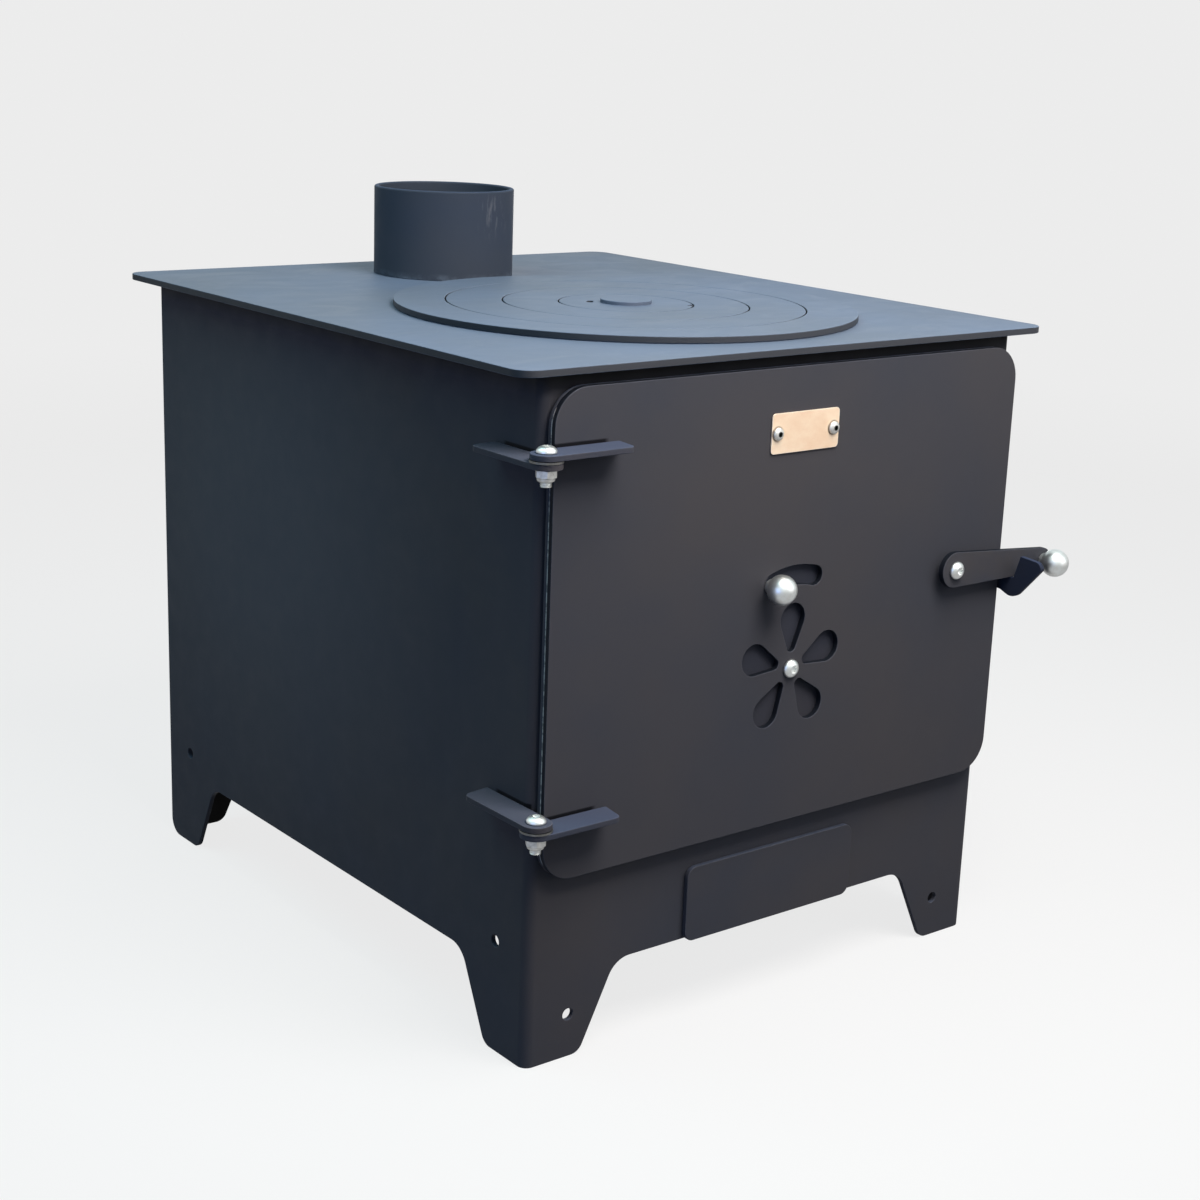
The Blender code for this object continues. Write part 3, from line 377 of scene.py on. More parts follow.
def bitten_line(centre, radius, bite_r, angle, inset=0.0, steps=10):
    """A disc's edge with a round bite at an angle."""
    disc_r = radius - inset
    bite_r += inset
    reach = acos((disc_r**2 + radius**2 - bite_r**2) / (2 * disc_r * radius))
    edge = arc((0, 0), disc_r, angle + reach, angle - reach + 2 * pi, ROUND)
    bite = Vector((radius * cos(angle), radius * sin(angle)))
    start = Vector(edge[-1]) - bite
    from_angle = atan2(start.y, start.x)
    sweep = 2 * ((angle + pi - from_angle + pi) % (2 * pi) - pi)
    hollow = arc(bite, bite_r, from_angle, from_angle + sweep, steps)
    return [(centre[0] + u, centre[1] + v) for u, v in edge + hollow[1:-1]]


def leaf_line(reach, welded, inset=0.0):
    """A hinge leaf from its axis along u; welded turns it so that its v side runs along X."""
    half = LEAF_WIDTH / 2
    end = arc((0, 0), half - inset, pi / 2, 3 * pi / 2, 24)
    tip = corner_line([
        (0, -half, 0),
        (reach - LEAF_TIP_CUT, -half, LEAF_TIP_R),
        (reach, half, LEAF_CORNER_R),
        (0, half, 0),
    ], inset)
    line = end + tip[1:-1]
    return [(v, u) for u, v in line] if welded else line


def moved(line, u0, v0, inset=0.0):
    """Another line, moved in its plane."""
    return [(u + u0, v + v0) for u, v in line(inset=inset)]


# Where a flat piece's point (u, v) lies, at a depth behind its face

def on_top(height, u, v, depth):
    """A face that looks up."""
    return (u, v, height - depth)


def on_front(y, u, v, depth):
    """A face that looks to the front."""
    return (u, y + depth, v)


def on_right(x, u, v, depth):
    """A face that looks to the right."""
    return (x - depth, u, v)


def on_back(y, u, v, depth):
    """A face that looks to the back."""
    return (u, y - depth, v)


FACING = {
    "up": Matrix.Identity(4),
    "down": Matrix.Rotation(pi, 4, "X"),
    "front": Matrix.Rotation(pi / 2, 4, "X"),
    "back": Matrix.Rotation(-pi / 2, 4, "X"),
}


# Mesh tools

def closed_loop(form, points):
    """A ring of edges through points."""
    verts = [form.verts.new(point) for point in points]
    return [form.edges.new(pair) for pair in zip(verts, verts[1:] + verts[:1])]


def skinned(form, rows, closed=False):
    """Bridges each row of edges to the next."""
    for first, second in zip(rows, rows[1:] + rows[:1] * closed):
        bmesh.ops.bridge_loops(form, edges=first + second)


def rim(thick, edge):
    """(inset, depth) down a plate's edge, from its face to its back, both of them rounded."""
    quarter = [pi / 2 * i / RIM_STEPS for i in range(RIM_STEPS + 1)]
    face = [(edge * (1 - sin(a)), edge * (1 - cos(a))) for a in quarter]
    return face + [(inset, thick - depth) for inset, depth in reversed(face)]


def plate(outlines, thick, edge, spot, bosses=()):
    """A flat piece: its outer line, then its holes, with rounded edges.

    The mesh keeps each point's share of the depth, so that a finish can tell face from back.
    A boss is a line and a height that it stands above the face.
    """
    form = bmesh.new()
    share = form.verts.layers.float.new("depth")
    faces, backs, crowns = [], [], []
    for number, line in enumerate(outlines):
        hand = -1 if number else 1
        rows = []
        for inset, depth in rim(thick, edge):
            points = [spot(u, v, depth) for u, v in line(inset=hand * inset)]
            rows.append(closed_loop(form, points))
            for link in rows[-1]:
                for vert in link.verts:
                    vert[share] = depth / thick
        skinned(form, rows)
        faces += rows[0]
        backs += rows[-1]
    for line, height in bosses:
        crown = reversed(rim(thick, edge)[:RIM_STEPS + 1])
        rows = [closed_loop(form, [spot(u, v, depth) for u, v in line(inset=inset)])
                for inset, depth in [(0, 0)] + [(inset, depth - height) for inset, depth in crown]]
        skinned(form, rows)
        faces += rows[0]
        crowns.append(rows[-1])
    for cap in (faces, backs, *crowns):
        bmesh.ops.triangle_fill(form, use_beauty=True, edges=cap)
    return form


def turned(profile, segments, closed=False, matrix=Matrix.Identity(4)):
    """A turned piece: a profile (radius, height) spun about its axis."""
    form = bmesh.new()
    points = [form.verts.new((radius, 0, height)) for radius, height in profile]
    pairs = list(zip(points, points[1:])) + [(points[-1], points[0])] * closed
    edges = [form.edges.new(pair) for pair in pairs]
    bmesh.ops.spin(form, geom=points + edges, cent=(0, 0, 0), axis=(0, 0, 1), angle=2 * pi,
                   steps=segments, use_merge=True)
    bmesh.ops.remove_doubles(form, verts=form.verts, dist=WELD)
    bmesh.ops.transform(form, matrix=matrix, verts=form.verts)
    return form


def row(radius, height, count=SMALL_ROUND):
    """A ring of points at a height; the radius is a number or a function of the angle."""
    angles = [2 * pi * i / count for i in range(count)]
    radii = [radius(a) if callable(radius) else radius for a in angles]
    return [(r * cos(a), r * sin(a), height) for r, a in zip(radii, angles)]


def loft(rows, closed=False, matrix=Matrix.Identity(4)):
    """A skin over rings of points; its ends are filled unless it closes on itself."""
    form = bmesh.new()
    loops = [closed_loop(form, points) for points in rows]
    skinned(form, loops, closed)
    if not closed:
        for end in (loops[0], loops[-1]):
            bmesh.ops.edgeloop_fill(form, edges=end)
    bmesh.ops.transform(form, matrix=matrix, verts=form.verts)
    return form


def hexagon(flats, angle):
    """Radius of a hexagon at an angle."""
    return flats / 2 / cos(angle % (pi / 3) - pi / 6)


def made(name, form, finish, body, nodes=()):
    """Turns a form into a finished piece that rides on a body and stands for its nodes."""
    bmesh.ops.recalc_face_normals(form, faces=form.faces)
    mesh = bpy.data.meshes.new(name)
    form.to_mesh(mesh)
    form.free()
    mesh.shade_smooth()
    mesh.set_sharp_from_angle(angle=SHARP_ANGLE)
    mesh.materials.append(finish)
    piece = bpy.data.objects.new(name, mesh)
    bpy.context.scene.collection.objects.link(piece)
    even = piece.modifiers.new("Even normals", "WEIGHTED_NORMAL")
    even.keep_sharp = True
    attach(piece, body)
    if nodes:
        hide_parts(*nodes)
    return piece


# Finishes

class Finish:
    """A procedural material, put together node by node."""

    def __init__(self, name, roughness, metallic=0.0, specular=0.5):
        self.material = bpy.data.materials.new(name)
        self.material.use_nodes = True
        self.tree = self.material.node_tree
        self.shader = self.tree.nodes["Principled BSDF"]
        self.shader.inputs["Roughness"].default_value = roughness
        self.shader.inputs["Metallic"].default_value = metallic
        self.shader.inputs["Specular IOR Level"].default_value = specular
        self.place = self.tree.nodes.new("ShaderNodeTexCoord").outputs["Object"]
        self.geometry = self.tree.nodes.new("ShaderNodeNewGeometry")

    def node(self, kind, values, output=0, **settings):
        """A node with its sockets fed by position or name; returns one of its outputs."""
        added = self.tree.nodes.new("ShaderNode" + kind)
        for name, value in settings.items():
            setattr(added, name, value)
        for key, value in values.items():
            if isinstance(value, bpy.types.NodeSocket):
                self.tree.links.new(value, added.inputs[key])
            else:
                added.inputs[key].default_value = value
        return added.outputs[output]

    def noise(self, scale, detail=3.0, rough=0.5, stretch=(1, 1, 1), distortion=0.0):
        """Soft noise; the stretch is how much finer it is along each axis."""
        where = self.node("Mapping", {"Vector": self.place, "Scale": stretch})
        return self.node("TexNoise", {"Vector": where, "Scale": scale, "Detail": detail,
                                      "Roughness": rough, "Distortion": distortion})

    def spread(self, value, low, high, to_low=0.0, to_high=1.0):
        """A value brought from one range to another, and held inside it."""
        return self.node("MapRange", {0: value, 1: low, 2: high, 3: to_low, 4: to_high})

    def math(self, operation, first, second=0.0):
        """Arithmetic on two values."""
        return self.node("Math", {0: first, 1: second}, operation=operation)

    def mix(self, factor, first, second):
        """One colour over another."""
        return self.node("Mix", {0: factor, 6: first, 7: second}, output=2, data_type="RGBA")

    def attribute(self, name):
        """A value that the mesh carries at its points."""
        added = self.tree.nodes.new("ShaderNodeAttribute")
        added.attribute_name = name
        return added.outputs["Fac"]

    def edges(self, radius):
        """1 along outer and inner edges, 0 on flats."""
        soft = self.node("Bevel", {"Radius": radius}, samples=4)
        same = self.node("VectorMath", {0: soft, 1: self.geometry.outputs["Normal"]},
                         output="Value", operation="DOT_PRODUCT")
        return self.spread(same, 0.995, 0.86)

    def split(self, vector, axis):
        """One of a vector's three numbers."""
        return self.node("SeparateXYZ", {0: vector}, output=axis)

    def facing_up(self):
        """1 where a face looks up."""
        return self.spread(self.split(self.geometry.outputs["Normal"], "Z"), 0.55, 0.95)

    def cut_edge(self, axis):
        """1 on the cut edges of a sheet whose faces look along an axis."""
        along = self.math("ABSOLUTE", self.split(self.geometry.outputs["Normal"], axis))
        return self.spread(along, 0.75, 0.35)

    def band(self, value, low, high, soft=0.0004):
        """1 where a value lies between two bounds."""
        return self.both(self.spread(value, low - soft, low + soft),
                         self.spread(value, high + soft, high - soft))

    def present_colour(self):
        """The colour so far, for another layer over it."""
        return self.shader.inputs["Base Color"].links[0].from_socket

    def near(self, point, inner, outer, flatten=(1, 1, 1)):
        """1 close to a point, falling to 0 at the outer distance."""
        offset = tuple(-p * f for p, f in zip(point, flatten))
        where = self.node("Mapping", {"Vector": self.place, "Location": offset, "Scale": flatten})
        distance = self.node("VectorMath", {0: where}, output="Value", operation="LENGTH")
        return self.spread(distance, outer, inner)

    def patches(self, scale, low, high, most=1.0, detail=3.0, rough=0.5, stretch=(1, 1, 1)):
        """Soft patches of noise, from nothing up to the most."""
        return self.spread(self.noise(scale, detail, rough, stretch), low, high, 0.0, most)

    def both(self, first, second):
        """What two values share."""
        return self.math("MULTIPLY", first, second)

    def over(self, share, colour):
        """Lays a share of a colour over the finish so far."""
        self.colour(self.mix(share, self.present_colour(), colour))

    def colour(self, value):
        """Feeds the shader's colour."""
        self.tree.links.new(value, self.shader.inputs["Base Color"])

    def roughness(self, value):
        """Feeds the shader's roughness."""
        self.tree.links.new(value, self.shader.inputs["Roughness"])

    def bump(self, height, strength, distance, under=None):
        """Relief; a second call goes over the first."""
        values = {"Strength": strength, "Distance": distance, "Height": height}
        if under is not None:
            values["Normal"] = under
        relief = self.node("Bump", values)
        self.tree.links.new(relief, self.shader.inputs["Normal"])
        return relief


def shades(colour, factor, tint=(1, 1, 1)):
    """A colour made lighter or darker, with a tint."""
    return (*(min(1, c * factor * t) for c, t in zip(colour, tint)), 1)


# Tints
COOL = (0.94, 1.0, 1.10)
WARM = (1.04, 1.0, 0.97)
SKY = (0.80, 1.0, 1.35)

# Colours of marks and dirt, and the black of a painted shade
LEAF_SHADE_BLACK = (0.004, 0.004, 0.006, 1)
PALE_SPECKS = (0.52, 0.48, 0.44, 1)
RUBBED = (0.22, 0.22, 0.24, 1)
COLLAR_HAZE = (0.16, 0.19, 0.24, 1)
PLATE_BORDER = (0.95, 0.88, 0.78, 1)
PLATE_GRIME = (0.10, 0.07, 0.055, 1)
PALE_RUST = (0.23, 0.15, 0.09, 1)
DEEP_RUST = (0.115, 0.048, 0.022, 1)


def stove_paint(settings, name, clouds=7.0, edge_tone=2.0, tint=(1, 1, 1), sooty=True,
                looks_along=None):
    """Matt heat-proof paint: soft clouds, fine grain, thin worn edges with a painted highlight,
    a painted sky sheen on faces that look up, and soot behind.

    The cut edges of a sheet that looks along an axis are painted darker and bluer, as shade.
    """
    base = tuple(c * t for c, t in zip(settings.paint, tint))
    finish = Finish(name, settings.paint_rough, specular=0.10)
    cloud = finish.patches(clouds, 0.35, 0.65, rough=0.55)
    mottle = finish.noise(55, 5, 0.6)
    finish.colour(finish.mix(cloud, shades(base, 0.94, COOL), shades(base, 1.06, WARM)))
    finish.over(finish.spread(mottle, 0.50, 0.75, 0.0, 0.35), shades(base, 1.12))
    # Painted sky sheen: faces that look up are lighter and bluer.
    finish.over(finish.both(finish.facing_up(), 0.6), shades(base, 1.45, SKY))
    if looks_along:
        # Painted shade: the cut edges, such as the walls of holes and slots, darker and bluer.
        finish.over(finish.cut_edge(looks_along), shades(base, 0.16, SKY))
    # Worn edges, partly real wear and partly a painted highlight: edges lighter and cooler.
    wear_and_highlight = finish.both(finish.edges(0.0009), finish.spread(mottle, 0.35, 0.62, 0.35, 0.9))
    finish.over(wear_and_highlight, shades(base, edge_tone, COOL))
    if sooty:
        back = finish.spread(finish.attribute("depth"), 0.85, 0.98, 0.0, 0.85)
        finish.over(back, shades(settings.soot, 1))
    rough = settings.paint_rough
    finish.roughness(finish.spread(mottle, 0.3, 0.7, rough - 0.05, rough + 0.08))
    peel = finish.bump(finish.noise(240, 3, 0.5), 0.10, 0.0004)
    finish.bump(finish.noise(1500, 2, 0.5), 0.18, 0.00012, peel)
    return finish


def shade_over_leaves(finish, kind, axis, on_face):
    """A painted shade: a black line on a wall, close above its two hinge leaves."""
    height = finish.split(finish.place, "Z")
    along = finish.split(finish.place, axis)
    for level in ("upper", "lower"):
        pivot = getattr(middle("hinge_washer_" + level), axis.lower())
        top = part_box(kind + level)[1]
        far = pivot + (getattr(top, axis.lower()) - pivot) * LEAF_SHADE_SHARE
        line = finish.both(finish.band(height, top.z - LEAF_SHADE_RISE, top.z + LEAF_SHADE_RISE, 0.0005),
                           finish.band(along, pivot, far, 0.002))
        finish.over(finish.both(line, on_face), LEAF_SHADE_BLACK)


def casing_paint(settings):
    """The casing's paint: painted shade close under the top plate, a painted sheen on the left
    side, and painted shade lines over the hinge leaves.
    """
    finish = stove_paint(settings, "casing_paint")
    across = finish.split(finish.place, "X")
    left = finish.spread(across, CASING_LOW.x + 0.003, CASING_LOW.x + 0.002)
    # Painted sheen: the left wall lighter and warmer round its middle and back.
    left_sheen = finish.near((CASING_LOW.x, CASING_HIGH.y - 0.15, 0.32), 0.08, 0.30, (1, 1, 1.15))
    left_sheen = finish.both(finish.both(left_sheen, left), 0.8)
    finish.over(left_sheen, shades(tuple(settings.paint), 1.80, (1.08, 1.03, 1.0)))
    # Painted shade: darker over the last 16 mm under the top plate's overhang.
    height = finish.split(finish.place, "Z")
    darkening = finish.spread(height, CASING_HIGH.z - 0.016, CASING_HIGH.z - 0.004, 0.0, 0.85)
    finish.over(darkening, shades(settings.soot, 0.7))
    # Painted shade: black lines on the left wall over the hinge leaves.
    shade_over_leaves(finish, "body_leaf_", "Y", left)
    return finish


def door_paint(settings):
    """The door's paint, with a pale speckled line along the rear of its left edge."""
    finish = stove_paint(settings, "door_paint", clouds=5.0, edge_tone=2.4, looks_along="Y")
    depth = finish.attribute("depth")
    rear = finish.both(finish.spread(depth, 0.70, 0.76), finish.spread(depth, 0.98, 0.94))
    left = finish.spread(finish.split(finish.place, "X"), DOOR_LOW.x + 0.004, DOOR_LOW.x + 0.002)
    specks = finish.spread(finish.noise(260, 3, 0.6), 0.42, 0.54, 0.35, 1.0)
    finish.over(finish.both(finish.both(rear, left), specks), PALE_SPECKS)
    # Painted shade: black lines on the door's face over the hinge leaves.
    shade_over_leaves(finish, "door_leaf_", "X", finish.spread(depth, 0.2, 0.1))
    return finish


def collar_paint(settings):
    """The stove's paint on the collar: a rubbed rim with a painted highlight, pale rub marks, and
    haze round its foot.
    """
    finish = stove_paint(settings, "collar_paint", edge_tone=2.8, tint=(0.66, 0.84, 1.04),
                         sooty=False)
    spot = (FLUE_X + 0.012, COLLAR_LOW.y, COLLAR_HIGH.z - 0.020)
    streaks = finish.patches(260, 0.54, 0.70, 0.4, 4, 0.65, (1, 1, 0.18))
    finish.over(finish.both(streaks, finish.near(spot, 0.002, 0.024)), RUBBED)
    height = finish.split(finish.place, "Z")
    foot = finish.spread(height, COLLAR_LOW.z + 0.006, COLLAR_LOW.z + 0.001)
    finish.over(finish.both(foot, finish.patches(60, 0.42, 0.65, 0.5, 4, 0.6)), COLLAR_HAZE)
    return finish


def hob_paint(settings):
    """Satin paint of the cooking surfaces: soft clouds, wiped haze by the collar, cut edges in
    painted shade that is lighter where they face the front, and worn edges with a painted
    highlight.
    """
    base = tuple(settings.hob)
    finish = Finish("hob_paint", settings.hob_rough, specular=0.2)
    cloud = finish.patches(5, 0.35, 0.65)
    mottle = finish.noise(70, 5, 0.6)
    wiped = finish.noise(16, 4, 0.6, (1.0, 1.6, 1), distortion=1.2)
    finish.colour(finish.mix(cloud, shades(base, 0.93), shades(base, 1.07, COOL)))
    finish.over(finish.spread(wiped, 0.50, 0.80, 0.0, 0.4), shades(base, 1.16))
    finish.over(finish.spread(mottle, 0.55, 0.80, 0.0, 0.4), shades(base, 0.86, WARM))
    collar = finish.near((FLUE_X, FLUE_Y, TOP_HIGH.z), 0.061, 0.084, (1, 1, 0))
    haze = finish.both(collar, finish.patches(38, 0.46, 0.68, 0.45, 4, 0.6))
    finish.over(haze, shades(base, 1.5, WARM))
    # Painted shade: cut edges darker and bluer, less at the boss; front-facing cut edges lighter
    # and warmer.
    boss = finish.near((HOB_X, HOB_Y, TOP_HIGH.z), 0.022, 0.026, (1, 1, 0))
    side = finish.both(finish.cut_edge("Z"), finish.spread(boss, 0.0, 1.0, 0.97, 0.30))
    front = finish.spread(finish.split(finish.geometry.outputs["Normal"], "Y"), -0.5, -0.95)
    shaded_edge = shades(base, 0.13, (0.85, 1.0, 1.0))
    lit_front_edge = shades(base, 0.32, (1.2, 1.0, 0.85))
    finish.over(side, finish.mix(front, shaded_edge, lit_front_edge))
    # Worn edges, partly real wear and partly a painted highlight: edges lighter.
    wear_and_highlight = finish.both(finish.edges(0.0008), finish.spread(mottle, 0.3, 0.6, 0.3, 0.7))
    finish.over(wear_and_highlight, shades(base, 1.7))
    rough = settings.hob_rough
    finish.roughness(finish.spread(wiped, 0.3, 0.7, rough - 0.04, rough + 0.08))
    peel = finish.bump(finish.noise(260, 3, 0.5), 0.10, 0.0004)
    finish.bump(finish.noise(1700, 2, 0.5), 0.16, 0.00012, peel)
    return finish


def stainless(settings):
    """Satin stainless steel: fine lines, faint stains and rubbed spots."""
    base = tuple(settings.steel)
    finish = Finish("stainless", 0.38, metallic=1.0)
    stain = finish.noise(160, 4, 0.6)
    lines = finish.noise(1800, 2, 0.5, (1, 1, 0.08))
    stained = finish.spread(stain, 0.40, 0.70)
    finish.colour(finish.mix(stained, shades(base, 1.05), shades(base, 0.84, WARM)))
    finish.roughness(finish.spread(stain, 0.3, 0.7, 0.33, 0.46))
    finish.bump(lines, 0.10, 0.00006)
    return finish


def zinc(settings, name="plated_steel", tone=0.80):
    """Plated steel of the washers and nuts: greyer and duller, with a breath of rust."""
    base = tuple(settings.steel)
    finish = Finish(name, 0.46, metallic=0.9)
    stain = finish.noise(240, 4, 0.6)
    stained = finish.spread(stain, 0.35, 0.70)
    finish.colour(finish.mix(stained, shades(base, tone, WARM), shades(base, tone * 0.62, WARM)))
    finish.over(finish.patches(420, 0.62, 0.78, 0.4, rough=0.6), PALE_RUST)
    finish.roughness(finish.spread(stain, 0.3, 0.7, 0.38, 0.56))
    finish.bump(finish.noise(900, 3, 0.6), 0.14, 0.00008)
    return finish


def nameplate_metal(settings):
    """The nameplate's pale metal: mottled cream, a whiter border, grime round its screws."""
    base = tuple(settings.brass)
    finish = Finish("nameplate_metal", 0.50, metallic=0.35)
    blush = finish.patches(70, 0.35, 0.68, 1.0, 4, 0.6, (0.6, 1, 1))
    finish.colour(finish.mix(blush, shades(base, 1.04), shades(base, 0.96, (1.0, 0.90, 0.84))))
    speck = finish.patches(520, 0.55, 0.78, 0.3, rough=0.6)
    finish.over(speck, shades(base, 0.82, WARM))
    finish.over(finish.both(finish.edges(0.0013), 0.7), PLATE_BORDER)
    for side in ("left", "right"):
        darkening = finish.near(middle("nameplate_screw_" + side), 0.0049, 0.0060, (1, 0, 1))
        finish.over(finish.both(darkening, 0.75), PLATE_GRIME)
    finish.roughness(finish.spread(speck, 0.0, 0.3, 0.44, 0.60))
    finish.bump(finish.noise(1400, 2, 0.5), 0.10, 0.00006)
    return finish


def fire_steel(settings):
    """Bare steel with mill scale, soot and a breath of rust."""
    base = tuple(settings.scale)
    finish = Finish("fire_steel", 0.62, metallic=0.35)
    scale = finish.noise(28, 5, 0.65)
    rust = finish.noise(14, 6, 0.7)
    scaled = finish.spread(scale, 0.35, 0.65)
    finish.colour(finish.mix(scaled, shades(base, 0.7, COOL), shades(base, 1.25)))
    finish.over(finish.spread(rust, 0.60, 0.75, 0.0, 0.55), DEEP_RUST)
    finish.over(finish.patches(9, 0.45, 0.65, 0.6, 4, 0.6), shades(settings.soot, 1))
    finish.roughness(finish.spread(scale, 0.3, 0.7, 0.50, 0.78))
    finish.bump(scale, 0.25, 0.0004)
    return finish


def rope_fibre(settings):
    """Braided glass fibre: a painted highlight on the crowns of its strands and painted shade
    between them.
    """
    base = tuple(settings.rope)
    finish = Finish("rope_fibre", 0.92, specular=0.2)
    crown = finish.attribute("crown")
    # Painted highlight and shade: crowns of the strands lighter, the hollows between them darker.
    finish.colour(finish.mix(crown, shades(base, 0.35), shades(base, 1.8)))
    fibre = finish.noise(2600, 2, 0.6)
    finish.over(finish.spread(fibre, 0.5, 0.8, 0.0, 0.4), shades(base, 3.0))
    finish.bump(fibre, 0.5, 0.0002)
    return finish


small_paint = partial(stove_paint, clouds=30.0, sooty=False)

FINISHES = {
    "paint": casing_paint,
    "door_paint": door_paint,
    "small_paint": partial(small_paint, name="small_part_paint"),
    # Painted shade: the disc behind the door darker and bluer than the door's paint.
    "disc": partial(stove_paint, name="disc_paint", tint=(0.72, 0.75, 0.84), looks_along="Y"),
    "wall_leaf": partial(small_paint, name="wall_leaf_paint", edge_tone=2.8,
                         tint=(1.06, 1.0, 0.98)),
    "swing_leaf": partial(small_paint, name="swing_leaf_paint", edge_tone=2.4,
                          tint=(0.95, 1.0, 1.12)),
    # Painted shade: the catch darker and bluer than the casing's paint.
    "catch": partial(small_paint, name="catch_paint", tint=(0.40, 0.50, 0.72)),
    "bar": partial(small_paint, name="bar_paint", looks_along="Y"),
    "collar": collar_paint,
    "hob": hob_paint,
    "stainless": stainless,
    "zinc": zinc,
    "washer": partial(zinc, name="blackened_steel", tone=0.24),
    "dull": partial(zinc, name="grimy_steel", tone=0.95),
    "nameplate": nameplate_metal,
    "fire": fire_steel,
    "rope": rope_fibre,
}
_made_finishes = {}


def finish_of(kind):
    """A finish's material, made when it is first asked for."""
    if kind not in _made_finishes:
        _made_finishes[kind] = FINISHES[kind](bpy.context.scene.cookstove_finish).material
    return _made_finishes[kind]


def dress(node, kind):
    """Gives a node of the frame a finish."""
    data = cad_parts[node].data
    data.materials.clear()
    data.materials.append(finish_of(kind))


# Casing

def leg_edge(near, far, between=()):
    """The lower edge of a wall, from the foot at near to the foot at far."""
    return [
        (near + FOOT_WIDTH, 0, FOOT_FILLET),
        (near + LEG_WIDTH, APRON_HEIGHT, APRON_FILLET),
        *between,
        (far - LEG_WIDTH, APRON_HEIGHT, APRON_FILLET),
        (far - FOOT_WIDTH, 0, FOOT_FILLET),
    ]


def bend_length():
    """Length of a folded corner along its outer face."""
    return BEND_R * pi / 2


def folded(u, v, depth):
    """A point of the unfolded sheet, after the two folds at the front corners."""
    side = CASING_DEPTH - BEND_R
    front = CASING_WIDTH - 2 * BEND_R
    bend = bend_length()
    if u <= side:
        return (CASING_LOW.x + depth, CASING_HIGH.y - u, v)
    if u <= side + bend:
        angle = pi + (u - side) / BEND_R
        centre_x = CASING_LOW.x + BEND_R
    elif u <= side + bend + front:
        return (CASING_LOW.x + BEND_R + u - side - bend, CASING_LOW.y + depth, v)
    elif u <= side + 2 * bend + front:
        angle = 1.5 * pi + (u - side - bend - front) / BEND_R
        centre_x = CASING_HIGH.x - BEND_R
    else:
        return (CASING_HIGH.x - depth, CASING_LOW.y + BEND_R + u - side - 2 * bend - front, v)
    radius = BEND_R - depth
    return (centre_x + radius * cos(angle), CASING_LOW.y + BEND_R + radius * sin(angle), v)


def folded_casing(edge):
    """The left side, front and right side: cut flat with their holes, then folded twice."""
    side = CASING_DEPTH - BEND_R
    bend = bend_length()
    front_start = side + bend - BEND_R
    right_start = side + 2 * bend + CASING_WIDTH - 2 * BEND_R - BEND_R
    length = right_start + CASING_DEPTH
    half = (DRAWER_HIGH.x - DRAWER_LOW.x) / 2 - NOTCH_LAP
    centre = front_start + CASING_WIDTH / 2
    notch_top = DRAWER_HIGH.z - NOTCH_LAP
    notch = [
        (centre - half, APRON_HEIGHT, 0),
        (centre - half, notch_top, 0),
        (centre + half, notch_top, 0),
        (centre + half, APRON_HEIGHT, 0),
    ]
    outline = [
        (0, 0, REAR_CORNER_R),
        *leg_edge(0, CASING_DEPTH),
        *leg_edge(front_start, front_start + CASING_WIDTH, notch),
        *leg_edge(right_start, right_start + CASING_DEPTH),
        (length, 0, REAR_CORNER_R),
        (length, CASING_HIGH.z, 0),
        (0, CASING_HIGH.z, 0),
    ]
    door_left = front_start + DOOR_LOW.x - CASING_LOW.x
    door_right = front_start + DOOR_HIGH.x - CASING_LOW.x
    lines = [
        partial(corner_line, outline),
        partial(box_line, door_left + MOUTH_LAP, door_right - MOUTH_LAP,
                DOOR_LOW.z + MOUTH_LAP, DOOR_HIGH.z - MOUTH_LAP, MOUTH_R),
    ]
    for start, size, height in ((0, CASING_DEPTH, SIDE_HOLE_HEIGHT),
                                (front_start, CASING_WIDTH, FRONT_HOLE_HEIGHT),
                                (right_start, CASING_DEPTH, SIDE_HOLE_HEIGHT)):
        for u in (start + LEG_HOLE_INSET, start + size - LEG_HOLE_INSET):
            lines.append(partial(round_line, (u, height), LEG_HOLE_R))
    form = plate(lines, SHEET, edge, partial(on_back, 0))
    for start in (side, side + bend + CASING_WIDTH - 2 * BEND_R):
        for step in range(BEND_STEPS + 1):
            u = start + bend * step / BEND_STEPS
            everything = form.verts[:] + form.edges[:] + form.faces[:]
            bmesh.ops.bisect_plane(form, geom=everything, plane_co=(u, 0, 0),
                                   plane_no=(1, 0, 0), dist=WELD)
    for vert in form.verts:
        vert.co = folded(vert.co.x, vert.co.z, -vert.co.y)
    made("folded_casing", form, finish_of("paint"), "casing", ["casing_wrap"])


def back_wall(edge):
    """The back sheet between the sides, with its own two feet."""
    outline = [
        (BACK_LOW.x, 0, 0),
        *leg_edge(CASING_LOW.x, CASING_HIGH.x),
        (BACK_HIGH.x, 0, 0),
        (BACK_HIGH.x, BACK_HIGH.z, 0),
        (BACK_LOW.x, BACK_HIGH.z, 0),
    ]
    form = plate([partial(corner_line, outline)], SHEET, edge, partial(on_back, BACK_HIGH.y))
    made("back_wall", form, finish_of("paint"), "casing", ["back_panel"])


# Top, collar and hob

def cooking_top(edge):
    """The top plate, with its two holes."""
    lines = [
        partial(box_line, TOP_LOW.x, TOP_HIGH.x, TOP_LOW.y, TOP_HIGH.y, TOP_CORNER_R),
        partial(round_line, (HOB_X, HOB_Y), HOB_HOLE_R, segments=WIDE_ROUND),
        partial(round_line, (FLUE_X, FLUE_Y), FLUE_R - FLUE_WALL, segments=ROUND),
    ]
    form = plate(lines, TOP_HIGH.z - TOP_LOW.z, edge, partial(on_top, TOP_HIGH.z))
    made("cooking_top", form, finish_of("hob"), "casing", ["top_plate"])


